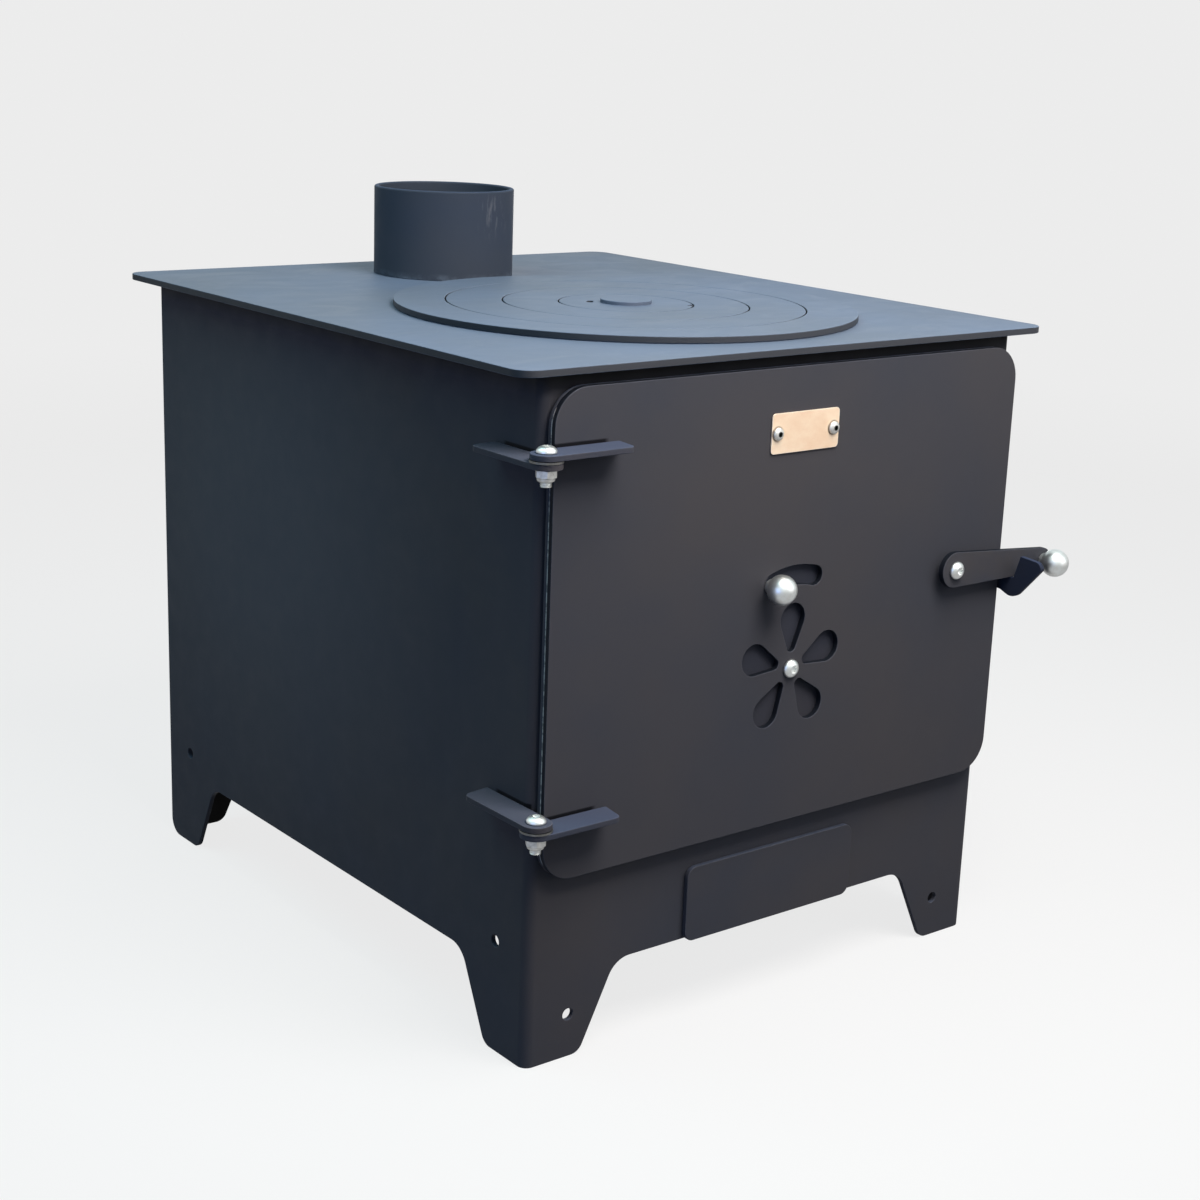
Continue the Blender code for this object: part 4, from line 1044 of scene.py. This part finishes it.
def flue_stub():
    """The collar, with its rim rounded."""
    inner = FLUE_R - FLUE_WALL
    height = COLLAR_HIGH.z - COLLAR_LOW.z
    section = corner_line([
        (FLUE_R, 0, GAP),
        (FLUE_R, height, FLUE_RIM_R),
        (inner, height, FLUE_RIM_R),
        (inner, 0, GAP),
    ])
    form = turned(section, ROUND, True, Matrix.Translation((FLUE_X, FLUE_Y, COLLAR_LOW.z)))
    made("flue_stub", form, finish_of("collar"), "casing", ["flue_collar"])


def hob_ring(name, node, body, outer, bore, edge):
    """One hob ring with its ledge, its two upper edges rounded."""
    low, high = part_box(node)
    ledge_r = bore - LEDGE_REACH
    root_r = bore + LEDGE_ROOT
    base = TOP_HIGH.z + GAP
    drop = low.z - base
    section = corner_line([
        (outer, high.z - base, edge),
        (outer, 0, edge),
        (root_r, 0, 0),
        (root_r, drop, GAP),
        (ledge_r, drop, GAP),
        (ledge_r, -GAP, GAP),
        (bore, -GAP, 0),
        (bore, high.z - base, edge),
    ], steps=4)
    form = turned(section, WIDE_ROUND, True, Matrix.Translation((HOB_X, HOB_Y, base)))
    made(name, form, finish_of("hob"), body, [node])


def hob_lid(edge):
    """The lid with its boss, lifter slot and rim notch."""
    lid_r = SEAM_RADII[0] - SEAM_HALF
    centre = (HOB_X, HOB_Y)
    face = LID_HIGH.z - BOSS_HEIGHT
    across = Vector((cos(LIFTER_ANGLE), sin(LIFTER_ANGLE)))
    along = Vector((-across.y, across.x)) * LIFTER_HALF
    slot = Vector(centre) + across * LIFTER_AT
    lines = [
        partial(bitten_line, centre, lid_r, NOTCH_R, LIFTER_ANGLE + pi),
        partial(belt_line, tuple(slot - along), LIFTER_R, tuple(slot + along), LIFTER_R),
    ]
    boss = (partial(round_line, centre, BOSS_R, segments=ROUND), BOSS_HEIGHT)
    form = plate(lines, face - LID_LOW.z, edge, partial(on_top, face), [boss])
    made("hob_cover", form, finish_of("hob"), "lid", ["hob_lid"])


# Door, drawer, rosette, latch and hinges

def door_line(inset_by, inset=0.0):
    """The door's edge, or a line that runs inside it."""
    radius = DOOR_R - inset_by
    return box_line(DOOR_LOW.x + inset_by, DOOR_HIGH.x - inset_by,
                    DOOR_LOW.z + inset_by, DOOR_HIGH.z - inset_by, radius, inset)


def rosette_centre():
    """Where the rosette turns, in X and height."""
    spot = middle("rosette_screw")
    return (spot.x, spot.z)


def door_face(edge):
    """The door's plate, with petals, slot and screw holes."""
    centre = rosette_centre()
    latch_spot = middle("latch_screw")
    half = AIR_TURN / 2 - (KNOB_SLOT_R - STUD_R - STUD_PLAY) / KNOB_SLOT_AT
    lines = [partial(door_line, 0)]
    lines += [partial(petal_line, centre, 2 * pi * i / PETALS, PETAL_TIP_R) for i in range(PETALS)]
    lines.append(partial(slot_line, centre, pi / 2 + SLOT_LEAN, half, KNOB_SLOT_AT, KNOB_SLOT_R))
    lines.append(partial(round_line, centre, M8[0] + GAP))
    lines.append(partial(round_line, (latch_spot.x, latch_spot.z), M8[0] + GAP))
    for side in ("left", "right"):
        spot = middle("nameplate_screw_" + side)
        lines.append(partial(round_line, (spot.x, spot.z), M5[0] + GAP))
    form = plate(lines, DOOR_HIGH.y - DOOR_LOW.y, edge, partial(on_front, DOOR_LOW.y))
    made("door_face", form, finish_of("door_paint"), "door", ["door_plate"])


def seal_strips(edge):
    """The two thin strips that hold the rope."""
    for name in ("outer", "inner"):
        low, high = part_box("seal_strip_" + name)
        inset = low.x - DOOR_LOW.x
        lines = [partial(door_line, inset), partial(door_line, inset + STRIP_WIDTH)]
        form = plate(lines, high.y - low.y, edge, partial(on_front, low.y))
        made("rope_channel_" + name, form, finish_of("small_paint"), "door",
             ["seal_strip_" + name])


def seal_rope(strands, pitch):
    """The braided rope: a grid wrapped round the door's edge line and puffed into strands."""
    inset = ROPE_LOW.x - DOOR_LOW.x + ROPE_WIDTH / 2
    radius = DOOR_R - inset
    line = [Vector(point) for point in door_line(inset)]
    lengths = [0.0]
    for first, second in zip(line, line[1:] + line[:1]):
        lengths.append(lengths[-1] + (second - first).length)
    total = lengths[-1]
    crossings = round(total / pitch)
    along, around = crossings * ROPE_STEPS, ROPE_ROUND
    form = bmesh.new()
    crown = form.verts.layers.float.new("crown")
    bmesh.ops.create_grid(form, x_segments=along, y_segments=around, size=0.5)
    middle_y = (ROPE_LOW.y + ROPE_HIGH.y) / 2
    half_width = ROPE_WIDTH / 2
    half_thick = (ROPE_HIGH.y - ROPE_LOW.y) / 2
    for vert in form.verts:
        share = (vert.co.x + 0.5) % 1.0
        angle = 2 * pi * ((vert.co.y + 0.5) % 1.0)
        travelled = share * total
        i = max(k for k in range(len(line)) if lengths[k] <= travelled + WELD)
        here, ahead = line[i], line[(i + 1) % len(line)]
        step = ahead - here
        point = here + step * ((travelled - lengths[i]) / step.length)
        normal = Vector((step.y, -step.x)).normalized()
        first = share * crossings + strands * angle / (2 * pi)
        second = share * crossings - strands * angle / (2 * pi)
        puff = (abs(sin(pi * first)) * abs(sin(pi * second))) ** 0.5
        vert[crown] = puff
        swell = 1 - STRAND_RISE + STRAND_RISE * puff
        square = abs(cos(angle)) ** ROPE_SQUARE + abs(sin(angle)) ** ROPE_SQUARE
        square **= -1 / ROPE_SQUARE
        out = half_width * swell * square * cos(angle)
        deep = half_thick * swell * square * sin(angle)
        vert.co = (point.x + normal.x * out, middle_y + deep, point.y + normal.y * out)
    bmesh.ops.remove_doubles(form, verts=form.verts, dist=WELD * 10)
    made("rope_braid", form, finish_of("rope"), "door", ["seal_rope"])


def drawer_face(edge):
    """The ash drawer's front plate."""
    line = partial(box_line, DRAWER_LOW.x, DRAWER_HIGH.x, DRAWER_LOW.z, DRAWER_HIGH.z, DRAWER_R)
    form = plate([line], DRAWER_HIGH.y - DRAWER_LOW.y, edge, partial(on_front, DRAWER_LOW.y))
    made("drawer_face", form, finish_of("paint"), "ash_drawer", ["drawer_front"])


def name_plate(edge):
    """The bare nameplate."""
    lines = [partial(box_line, PLATE_LOW.x, PLATE_HIGH.x, PLATE_LOW.z, PLATE_HIGH.z, PLATE_R)]
    for side in ("left", "right"):
        spot = middle("nameplate_screw_" + side)
        lines.append(partial(round_line, (spot.x, spot.z), M5[0] + GAP))
    form = plate(lines, PLATE_HIGH.y - PLATE_LOW.y, edge, partial(on_front, PLATE_LOW.y))
    made("bare_nameplate", form, finish_of("nameplate"), "door", ["nameplate"])


def rosette(edge):
    """The disc behind the door, with slimmer petals, shut at rest."""
    centre = rosette_centre()
    lines = [
        partial(round_line, centre, (DISC_HIGH.x - DISC_LOW.x) / 2, segments=ROUND),
        partial(round_line, centre, M8[0] + GAP),
    ]
    lines += [partial(petal_line, centre, AIR_TURN + 2 * pi * i / PETALS, DISC_TIP_R)
              for i in range(PETALS)]
    form = plate(lines, DISC_HIGH.y - DISC_LOW.y, edge, partial(on_front, DISC_LOW.y))
    made("air_disc", form, finish_of("disc"), "air_control", ["rosette_disc"])


def latch_bar(edge):
    """The tapered bar."""
    pivot = middle("latch_screw")
    knob = middle("latch_stud")
    lines = [
        partial(belt_line, (pivot.x, pivot.z), LATCH_PIVOT_R,
                (knob.x, knob.z), LATCH_TIP_R, steps=32),
        partial(round_line, (pivot.x, pivot.z), M8[0] + GAP),
    ]
    form = plate(lines, BAR_HIGH.y - BAR_LOW.y, edge, partial(on_front, BAR_LOW.y))
    made("drop_bar", form, finish_of("bar"), "latch", ["latch_bar"])


def catch(edge):
    """The catch plate on the right side wall."""
    low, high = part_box("catch_hook")
    back = BAR_HIGH.y + CATCH_PLAY
    mouth = BAR_LOW.y - CATCH_MOUTH
    tip = BAR_LOW.y - NOSE_REACH
    floor = BAR_LOW.z - GAP
    tip_low = NOSE_RISE - NOSE_TIP_DROP
    wall = CASING_LOW.y + CATCH_RETURN
    corners = [
        (wall, -CATCH_BELOW, CATCH_CORNER_R),
        (back + CATCH_BEND_BACK, -CATCH_BEND_BELOW, CATCH_BEND_R),
        (mouth - THROAT_FORWARD, -CATCH_THROAT, CATCH_THROAT_R),
        (tip, tip_low, NOSE_TIP_R),
        (tip + NOSE_TIP_SLOPE, tip_low + NOSE_TIP_HEIGHT, NOSE_TOP_R),
        (mouth - NOTCH_FLARE, NOSE_RISE, NOTCH_EDGE_R),
        (mouth, 0, NOTCH_EDGE_R),
        (back, 0, NOTCH_EDGE_R),
        (back, CATCH_ABOVE, CATCH_CORNER_R),
        (wall, CATCH_ABOVE, CATCH_CORNER_R),
    ]
    line = partial(corner_line, [(u, v + floor, radius) for u, v, radius in corners])
    form = plate([line], high.x - low.x, edge, partial(on_right, high.x))
    made("catch_plate", form, finish_of("catch"), "casing", ["catch_hook"])


def hinge_leaves(level, edge):
    """The two leaves of a hinge."""
    spot = middle("hinge_washer_" + level)
    hole = partial(round_line, (spot.x, spot.y), M8[0] + GAP)
    for kind, node, body in (("wall_leaf", "body_leaf_" + level, "casing"),
                             ("swing_leaf", "door_leaf_" + level, "door")):
        low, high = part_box(node)
        on_wall = body == "casing"
        reach = high.y - spot.y if on_wall else high.x - spot.x
        line = partial(moved, partial(leaf_line, reach, on_wall), spot.x, spot.y)
        form = plate([line, hole], high.z - low.z, edge, partial(on_top, high.z))
        made(kind + "_" + level, form, finish_of(kind), body, [node])


# Fasteners and knobs

def button_screw(name, node, size, facing, body, finish="stainless"):
    """A button head screw with a hexagon socket and a thread at its end."""
    shank_r, head_r, head_height, key, pitch = size
    low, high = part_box(node)
    spot = middle(node)
    if facing == "up":
        seat, grip = high.z - head_height, high.z - low.z - head_height
        place = (spot.x, spot.y, seat)
    else:
        seat, grip = low.y + head_height, high.y - low.y - head_height
        place = (spot.x, seat, spot.z)
    socket = partial(hexagon, key)
    depth = head_height * SOCKET_SHARE
    dome = head_height - HEAD_EDGE
    mouth_r = key / 2 / cos(pi / 6) + SOCKET_CHAMFER
    rows = [
        row(key / 6, head_height - depth - key / 12),
        row(socket, head_height - depth),
        row(socket, head_height - SOCKET_CHAMFER),
        row(mouth_r, head_height),
    ]
    crown_r = head_r * cos(CROWN_ANGLE)
    if crown_r > mouth_r:
        rows.append(row(crown_r - SOCKET_CHAMFER, head_height))
    for i in range(CROWN_STEPS + 1):
        angle = CROWN_ANGLE * (1 - i / CROWN_STEPS)
        rows.append(row(max(head_r * cos(angle), mouth_r + SOCKET_CHAMFER),
                        HEAD_EDGE + dome * sin(angle) / sin(CROWN_ANGLE) - SOCKET_CHAMFER / 2))
    rows += [row(head_r, HEAD_EDGE / 3), row(head_r - SOCKET_CHAMFER, 0), row(shank_r, 0)]
    thread_top = max(-grip + THREAD_TURNS * pitch, -grip)
    rows.append(row(shank_r, min(thread_top + pitch / 4, -SOCKET_CHAMFER)))
    turns = int(min(THREAD_TURNS, (grip - SOCKET_CHAMFER) / pitch))
    root_r = shank_r - pitch / 2
    for i in range(turns):
        top = -grip + (turns - i) * pitch
        rows += [row(radius, top - pitch * share)
                 for radius, share in zip((root_r, root_r, shank_r, shank_r), THREAD_SHAPE)]
    rows[-1] = row(shank_r - pitch / 2, -grip)
    form = loft(rows, matrix=Matrix.Translation(place) @ FACING[facing])
    made(name, form, finish_of(finish), body, [node])


def lock_nut(name, node, size, facing, body):
    """A locking nut: chamfered hexagon, round collar away from its seat, and a bore."""
    bolt_r, flats, hex_height, height = size
    low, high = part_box(node)
    spot = middle(node)
    place = (spot.x, spot.y, high.z) if facing == "down" else (spot.x, low.y, spot.z)
    bore_r = bolt_r + GAP
    face_r = flats / 2 * NUT_FACE
    collar_r = flats * COLLAR_SHARE / 2
    ring_r = bolt_r * NUT_RING

    def chamfered(start_r, run, angle):
        return min(hexagon(flats, angle), start_r + run * NUT_SLOPE)

    runs = [NUT_CHAMFER * i / RIM_STEPS for i in range(RIM_STEPS + 1)]
    rows = [row(bore_r, 0)]
    rows += [row(partial(chamfered, face_r, run), run) for run in runs]
    rows += [row(partial(chamfered, collar_r, run), hex_height - run) for run in reversed(runs)]
    rows += [
        row(collar_r, hex_height + (height - hex_height) * COLLAR_LOWER),
        *(row(collar_r * share, height - below) for share, below in COLLAR_CROWN),
        row(ring_r, height),
        row(ring_r - GAP, height - GAP),
        row(bore_r, height - GAP),
    ]
    form = loft(rows, closed=True, matrix=Matrix.Translation(place) @ FACING[facing])
    made(name, form, finish_of("zinc"), body, [node])


def ball_knob(name, node, body):
    """A ball on a short neck, with its blind bore."""
    low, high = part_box(node)
    spot = middle(node)
    neck = high.y
    rise = (neck - low.y) - BALL_R
    meeting = -acos(NECK_R / BALL_R)
    surface = arc((0, rise), BALL_R, pi / 2, meeting, SMALL_ROUND)
    surface[0] = (0, surface[0][1])
    bore_r = STUD_R + GAP
    neck_line = [(NECK_R, GAP), (NECK_R - GAP, 0)]
    bore_line = [(bore_r, 0), (bore_r, BORE_DEPTH), (0, BORE_DEPTH)]
    profile = surface + neck_line + bore_line
    matrix = Matrix.Translation((spot.x, neck, spot.z)) @ FACING["front"]
    form = turned(profile, ROUND, False, matrix)
    made(name, form, finish_of("stainless"), body, [node])


# Operators

class COOKSTOVE_OT_casing(bpy.types.Operator):
    """Fold the casing from one sheet and set the back wall between its sides"""

    bl_idname = "cookstove.casing"
    bl_label = "Casing"

    def execute(self, context):
        edge = context.scene.cookstove_form.sheet_edge
        folded_casing(edge)
        back_wall(edge)
        return {"FINISHED"}


class COOKSTOVE_OT_top(bpy.types.Operator):
    """Make the top plate and the flue collar on it"""

    bl_idname = "cookstove.top"
    bl_label = "Top and flue collar"

    def execute(self, context):
        cooking_top(context.scene.cookstove_form.sheet_edge)
        flue_stub()
        return {"FINISHED"}


class COOKSTOVE_OT_hob(bpy.types.Operator):
    """Turn the three hob rings and the lid"""

    bl_idname = "cookstove.hob"
    bl_label = "Hob rings and lid"

    def execute(self, context):
        edge = context.scene.cookstove_form.hob_edge
        inner, between, outer = SEAM_RADII
        rim_r = (HOB_HIGH.x - HOB_LOW.x) / 2 + SEAM_HALF
        for place, outside, inside in (("outer", rim_r, outer),
                                       ("middle", outer, between),
                                       ("inner", between, inner)):
            hob_ring(place + "_hob_ring", "hob_ring_" + place, place + "_ring",
                     outside - SEAM_HALF, inside + SEAM_HALF, edge)
        hob_lid(edge)
        return {"FINISHED"}


class COOKSTOVE_OT_firebox(bpy.types.Operator):
    """Finish the firebox floor, the grate and the ash drawer's runners and tray"""

    bl_idname = "cookstove.firebox"
    bl_label = "Firebox"

    def execute(self, context):
        for node in ("firebox_floor", "grate", "drawer_guide_left", "drawer_guide_right",
                     "ash_tray"):
            dress(node, "fire")
        return {"FINISHED"}


class COOKSTOVE_OT_door(bpy.types.Operator):
    """Make the door's plate and its bare nameplate"""

    bl_idname = "cookstove.door"
    bl_label = "Door"

    def execute(self, context):
        form = context.scene.cookstove_form
        door_face(form.sheet_edge)
        name_plate(form.plate_edge)
        return {"FINISHED"}


class COOKSTOVE_OT_seal(bpy.types.Operator):
    """Make the rope seal and the strips that hold it"""

    bl_idname = "cookstove.seal"
    bl_label = "Door seal"

    def execute(self, context):
        form = context.scene.cookstove_form
        seal_strips(form.sheet_edge)
        seal_rope(form.rope_strands, form.rope_pitch)
        return {"FINISHED"}


class COOKSTOVE_OT_drawer(bpy.types.Operator):
    """Make the ash drawer's front"""

    bl_idname = "cookstove.drawer"
    bl_label = "Ash drawer front"

    def execute(self, context):
        drawer_face(context.scene.cookstove_form.sheet_edge)
        return {"FINISHED"}


class COOKSTOVE_OT_rosette(bpy.types.Operator):
    """Make the air rosette's disc"""

    bl_idname = "cookstove.rosette"
    bl_label = "Air rosette"

    def execute(self, context):
        rosette(context.scene.cookstove_form.plate_edge)
        return {"FINISHED"}


class COOKSTOVE_OT_latch(bpy.types.Operator):
    """Make the latch bar and the catch that it drops into"""

    bl_idname = "cookstove.latch"
    bl_label = "Latch and catch"

    def execute(self, context):
        edge = context.scene.cookstove_form.sheet_edge
        latch_bar(edge)
        catch(edge)
        return {"FINISHED"}


class COOKSTOVE_OT_hinges(bpy.types.Operator):
    """Make the leaves of both hinges"""

    bl_idname = "cookstove.hinges"
    bl_label = "Hinge leaves"

    def execute(self, context):
        for level in ("upper", "lower"):
            hinge_leaves(level, context.scene.cookstove_form.sheet_edge)
            dress("hinge_washer_" + level, "washer")
        return {"FINISHED"}


class COOKSTOVE_OT_fasteners(bpy.types.Operator):
    """Make the screws, bolts and locking nuts"""

    bl_idname = "cookstove.fasteners"
    bl_label = "Screws and nuts"

    def execute(self, context):
        for level in ("upper", "lower"):
            button_screw("hinge_pin_" + level, "hinge_bolt_" + level, M8, "up", "casing")
            lock_nut("hinge_lock_nut_" + level, "hinge_nut_" + level, NUT8, "down", "casing")
        for side in ("left", "right"):
            button_screw("plate_screw_" + side, "nameplate_screw_" + side, M5, "front", "door",
                         "dull")
        button_screw("air_screw", "rosette_screw", M8, "front", "door")
        button_screw("bar_screw", "latch_screw", M8, "front", "door")
        lock_nut("air_lock_nut", "rosette_nut", NUT8, "back", "door")
        lock_nut("bar_lock_nut", "latch_nut", NUT8, "back", "door")
        dress("latch_spacer", "zinc")
        return {"FINISHED"}


class COOKSTOVE_OT_knobs(bpy.types.Operator):
    """Turn the two ball knobs"""

    bl_idname = "cookstove.knobs"
    bl_label = "Ball knobs"

    def execute(self, context):
        ball_knob("air_knob", "air_ball", "air_control")
        ball_knob("bar_knob", "latch_ball", "latch")
        dress("air_stud", "stainless")
        dress("latch_stud", "stainless")
        return {"FINISHED"}


# Stage

CAMERA_PLACE = (-1.022, -1.3092, 0.7085)
CAMERA_YAW = radians(38.45)      # from +Y towards +X
CAMERA_PITCH = radians(15.39)    # down
CAMERA_ROLL = radians(-2.08)
SENSOR = 36.0
CLOSEST = 0.01                   # distance from which the camera sees
LIGHT_AIM = Vector((0, 0, 0.28))
LAMPS = (                        # name, place, size, colour
    ("key", (-0.03, -0.75, 1.3), 0.7, (1.0, 0.97, 0.92)),
    ("front", (1.5, -2.6, 1.4), 2.0, (0.98, 0.96, 1.0)),
    ("sky", (-0.9, 0.3, 1.7), 1.2, (0.5, 0.95, 1.0)),
    ("side", (-2.2, -0.9, 0.5), 1.4, (0.12, 0.35, 1.0)),
    ("back", (1.7, 1.9, 0.27), 0.5, (0.98, 0.98, 1.0)),
)
SHADOW_LIGHT = (0.08, 0.10, 0.12, 1)
HORIZON = (0.84, 0.84, 0.84, 1)
ZENITH = (0.86, 0.97, 1.0, 1)
SKY_BAND = (0.05, 0.45)          # heights between which the surround turns from one to the other
FLOOR_DROP = 0.0002              # below the feet
FLOOR_TONE = (0.5, 3.0, 0.79, 0.84)   # two distances, and its own tone at each
FLOOR_LIT = (0.5, 2.0, 0.13, 0.0)     # two distances, and its share that takes the shadow
FLOOR_MIRRORED = 0.6             # how bright metal sees it
FLOOR_BOUNCE = (0.10, 0.11, 0.13, 1)


def area_light(name, place, size, power, colour):
    """A soft square lamp that faces the stove."""
    lamp = bpy.data.lights.new(name, "AREA")
    lamp.shape = "SQUARE"
    lamp.size = size
    lamp.energy = power
    lamp.color = colour
    holder = bpy.data.objects.new(name, lamp)
    turn = (LIGHT_AIM - Vector(place)).to_track_quat("-Z", "Y").to_matrix().to_4x4()
    holder.matrix_world = Matrix.Translation(place) @ turn
    bpy.context.scene.collection.objects.link(holder)


def ray_kinds(tree, mirrored):
    """1 for rays that see the pale surround straight or through glass, less for mirrored ones."""
    path = tree.nodes.new("ShaderNodeLightPath")
    dimmed = tree.nodes.new("ShaderNodeMath")
    dimmed.operation = "MULTIPLY"
    dimmed.inputs[1].default_value = mirrored
    tree.links.new(path.outputs["Is Glossy Ray"], dimmed.inputs[0])
    seen = path.outputs["Is Camera Ray"]
    for kind in (dimmed.outputs[0], path.outputs["Is Transmission Ray"]):
        either = tree.nodes.new("ShaderNodeMath")
        either.operation = "MAXIMUM"
        tree.links.new(seen, either.inputs[0])
        tree.links.new(kind, either.inputs[1])
        seen = either.outputs[0]
    return seen


def pale_floor(settings):
    """A pale floor: its own tone, which fades outwards, and a lit share that takes the shadow."""
    form = bmesh.new()
    bmesh.ops.create_grid(form, x_segments=1, y_segments=1, size=settings.floor_size / 2)
    mesh = bpy.data.meshes.new("floor")
    form.to_mesh(mesh)
    form.free()
    floor = bpy.data.objects.new("floor", mesh)
    floor.location.z = -FLOOR_DROP
    bpy.context.scene.collection.objects.link(floor)
    finish = Finish("pale_floor", 1.0, specular=0.0)
    seen = ray_kinds(finish.tree, FLOOR_MIRRORED)
    distance = finish.node("VectorMath", {0: finish.place}, output="Value", operation="LENGTH")
    own, lit = (finish.node("CombineXYZ", {i: tone for i in range(3)})
                for tone in (finish.spread(distance, *FLOOR_TONE),
                             finish.spread(distance, *FLOOR_LIT)))
    finish.colour(finish.mix(seen, FLOOR_BOUNCE, lit))
    finish.tree.links.new(own, finish.shader.inputs["Emission Color"])
    finish.tree.links.new(seen, finish.shader.inputs["Emission Strength"])
    mesh.materials.append(finish.material)


def backdrop():
    """A pale surround that camera and metal see, and a dimmer one that lights the shadows."""
    world = bpy.data.worlds.new("surround")
    bpy.context.scene.world = world
    world.use_nodes = True
    tree = world.node_tree
    where = tree.nodes.new("ShaderNodeTexCoord")
    height = tree.nodes.new("ShaderNodeSeparateXYZ")
    tree.links.new(where.outputs["Generated"], height.inputs[0])
    ramp = tree.nodes.new("ShaderNodeValToRGB")
    for stop, position, colour in zip(ramp.color_ramp.elements, SKY_BAND, (HORIZON, ZENITH)):
        stop.position = position
        stop.color = colour
    tree.links.new(height.outputs["Z"], ramp.inputs[0])
    mix = tree.nodes.new("ShaderNodeMix")
    mix.data_type = "RGBA"
    mix.inputs[6].default_value = SHADOW_LIGHT
    tree.links.new(ray_kinds(tree, 1.0), mix.inputs[0])
    tree.links.new(ramp.outputs[0], mix.inputs[7])
    tree.links.new(mix.outputs[2], tree.nodes["Background"].inputs["Color"])


def camera(lens):
    """The camera at the photograph's place and angle."""
    ahead = Vector((sin(CAMERA_YAW), cos(CAMERA_YAW), 0))
    forward = ahead * cos(CAMERA_PITCH) - Vector((0, 0, sin(CAMERA_PITCH)))
    right = Vector((cos(CAMERA_YAW), -sin(CAMERA_YAW), 0))
    down = forward.cross(right)
    rolled_right = cos(CAMERA_ROLL) * right + sin(CAMERA_ROLL) * down
    rolled_down = cos(CAMERA_ROLL) * down - sin(CAMERA_ROLL) * right
    turn = Matrix((rolled_right, -rolled_down, -forward)).transposed().to_4x4()
    data = bpy.data.cameras.new("camera")
    data.sensor_width = SENSOR
    data.lens = lens
    data.clip_start = CLOSEST
    holder = bpy.data.objects.new("camera", data)
    holder.matrix_world = Matrix.Translation(CAMERA_PLACE) @ turn
    bpy.context.scene.collection.objects.link(holder)
    bpy.context.scene.camera = holder


class COOKSTOVE_OT_stage(bpy.types.Operator):
    """Set up the floor, the lights, the surround and the camera"""

    bl_idname = "cookstove.stage"
    bl_label = "Stage"

    def execute(self, context):
        settings = context.scene.cookstove_stage
        pale_floor(settings)
        backdrop()
        for name, place, size, colour in LAMPS:
            power = getattr(settings, name + "_power")
            area_light(name + "_light", place, size, power, colour)
        camera(settings.lens)
        context.scene.view_settings.view_transform = "Standard"
        return {"FINISHED"}


class COOKSTOVE_PT_panel(bpy.types.Panel):
    """The stove's operators and settings in the sidebar"""

    bl_label = "Cookstove"
    bl_idname = "COOKSTOVE_PT_panel"
    bl_space_type = "VIEW_3D"
    bl_region_type = "UI"
    bl_category = "Cookstove"

    def draw(self, context):
        layout = self.layout
        scene = context.scene
        for group in (scene.cookstove_form, scene.cookstove_finish, scene.cookstove_stage):
            box = layout.box()
            for name in group.bl_rna.properties.keys():
                if name not in ("rna_type", "name"):
                    box.prop(group, name)
        for step in STEPS:
            layout.operator(step.bl_idname)


STEPS = (
    COOKSTOVE_OT_casing,
    COOKSTOVE_OT_top,
    COOKSTOVE_OT_hob,
    COOKSTOVE_OT_firebox,
    COOKSTOVE_OT_door,
    COOKSTOVE_OT_seal,
    COOKSTOVE_OT_drawer,
    COOKSTOVE_OT_rosette,
    COOKSTOVE_OT_latch,
    COOKSTOVE_OT_hinges,
    COOKSTOVE_OT_fasteners,
    COOKSTOVE_OT_knobs,
    COOKSTOVE_OT_stage,
)
CLASSES = (CookstoveForm, CookstoveFinish, CookstoveStage, *STEPS, COOKSTOVE_PT_panel)


def register():
    """Adds the classes and the scene's settings."""
    for kind in CLASSES:
        bpy.utils.register_class(kind)
    bpy.types.Scene.cookstove_form = PointerProperty(type=CookstoveForm)
    bpy.types.Scene.cookstove_finish = PointerProperty(type=CookstoveFinish)
    bpy.types.Scene.cookstove_stage = PointerProperty(type=CookstoveStage)


def unregister():
    """Takes them away again."""
    del bpy.types.Scene.cookstove_form
    del bpy.types.Scene.cookstove_finish
    del bpy.types.Scene.cookstove_stage
    for kind in reversed(CLASSES):
        bpy.utils.unregister_class(kind)


def main():
    """Builds the stove and its stage."""
    register()
    for step in STEPS:
        group, name = step.bl_idname.split(".")
        getattr(getattr(bpy.ops, group), name)()


if __name__ == "__main__":
    main()
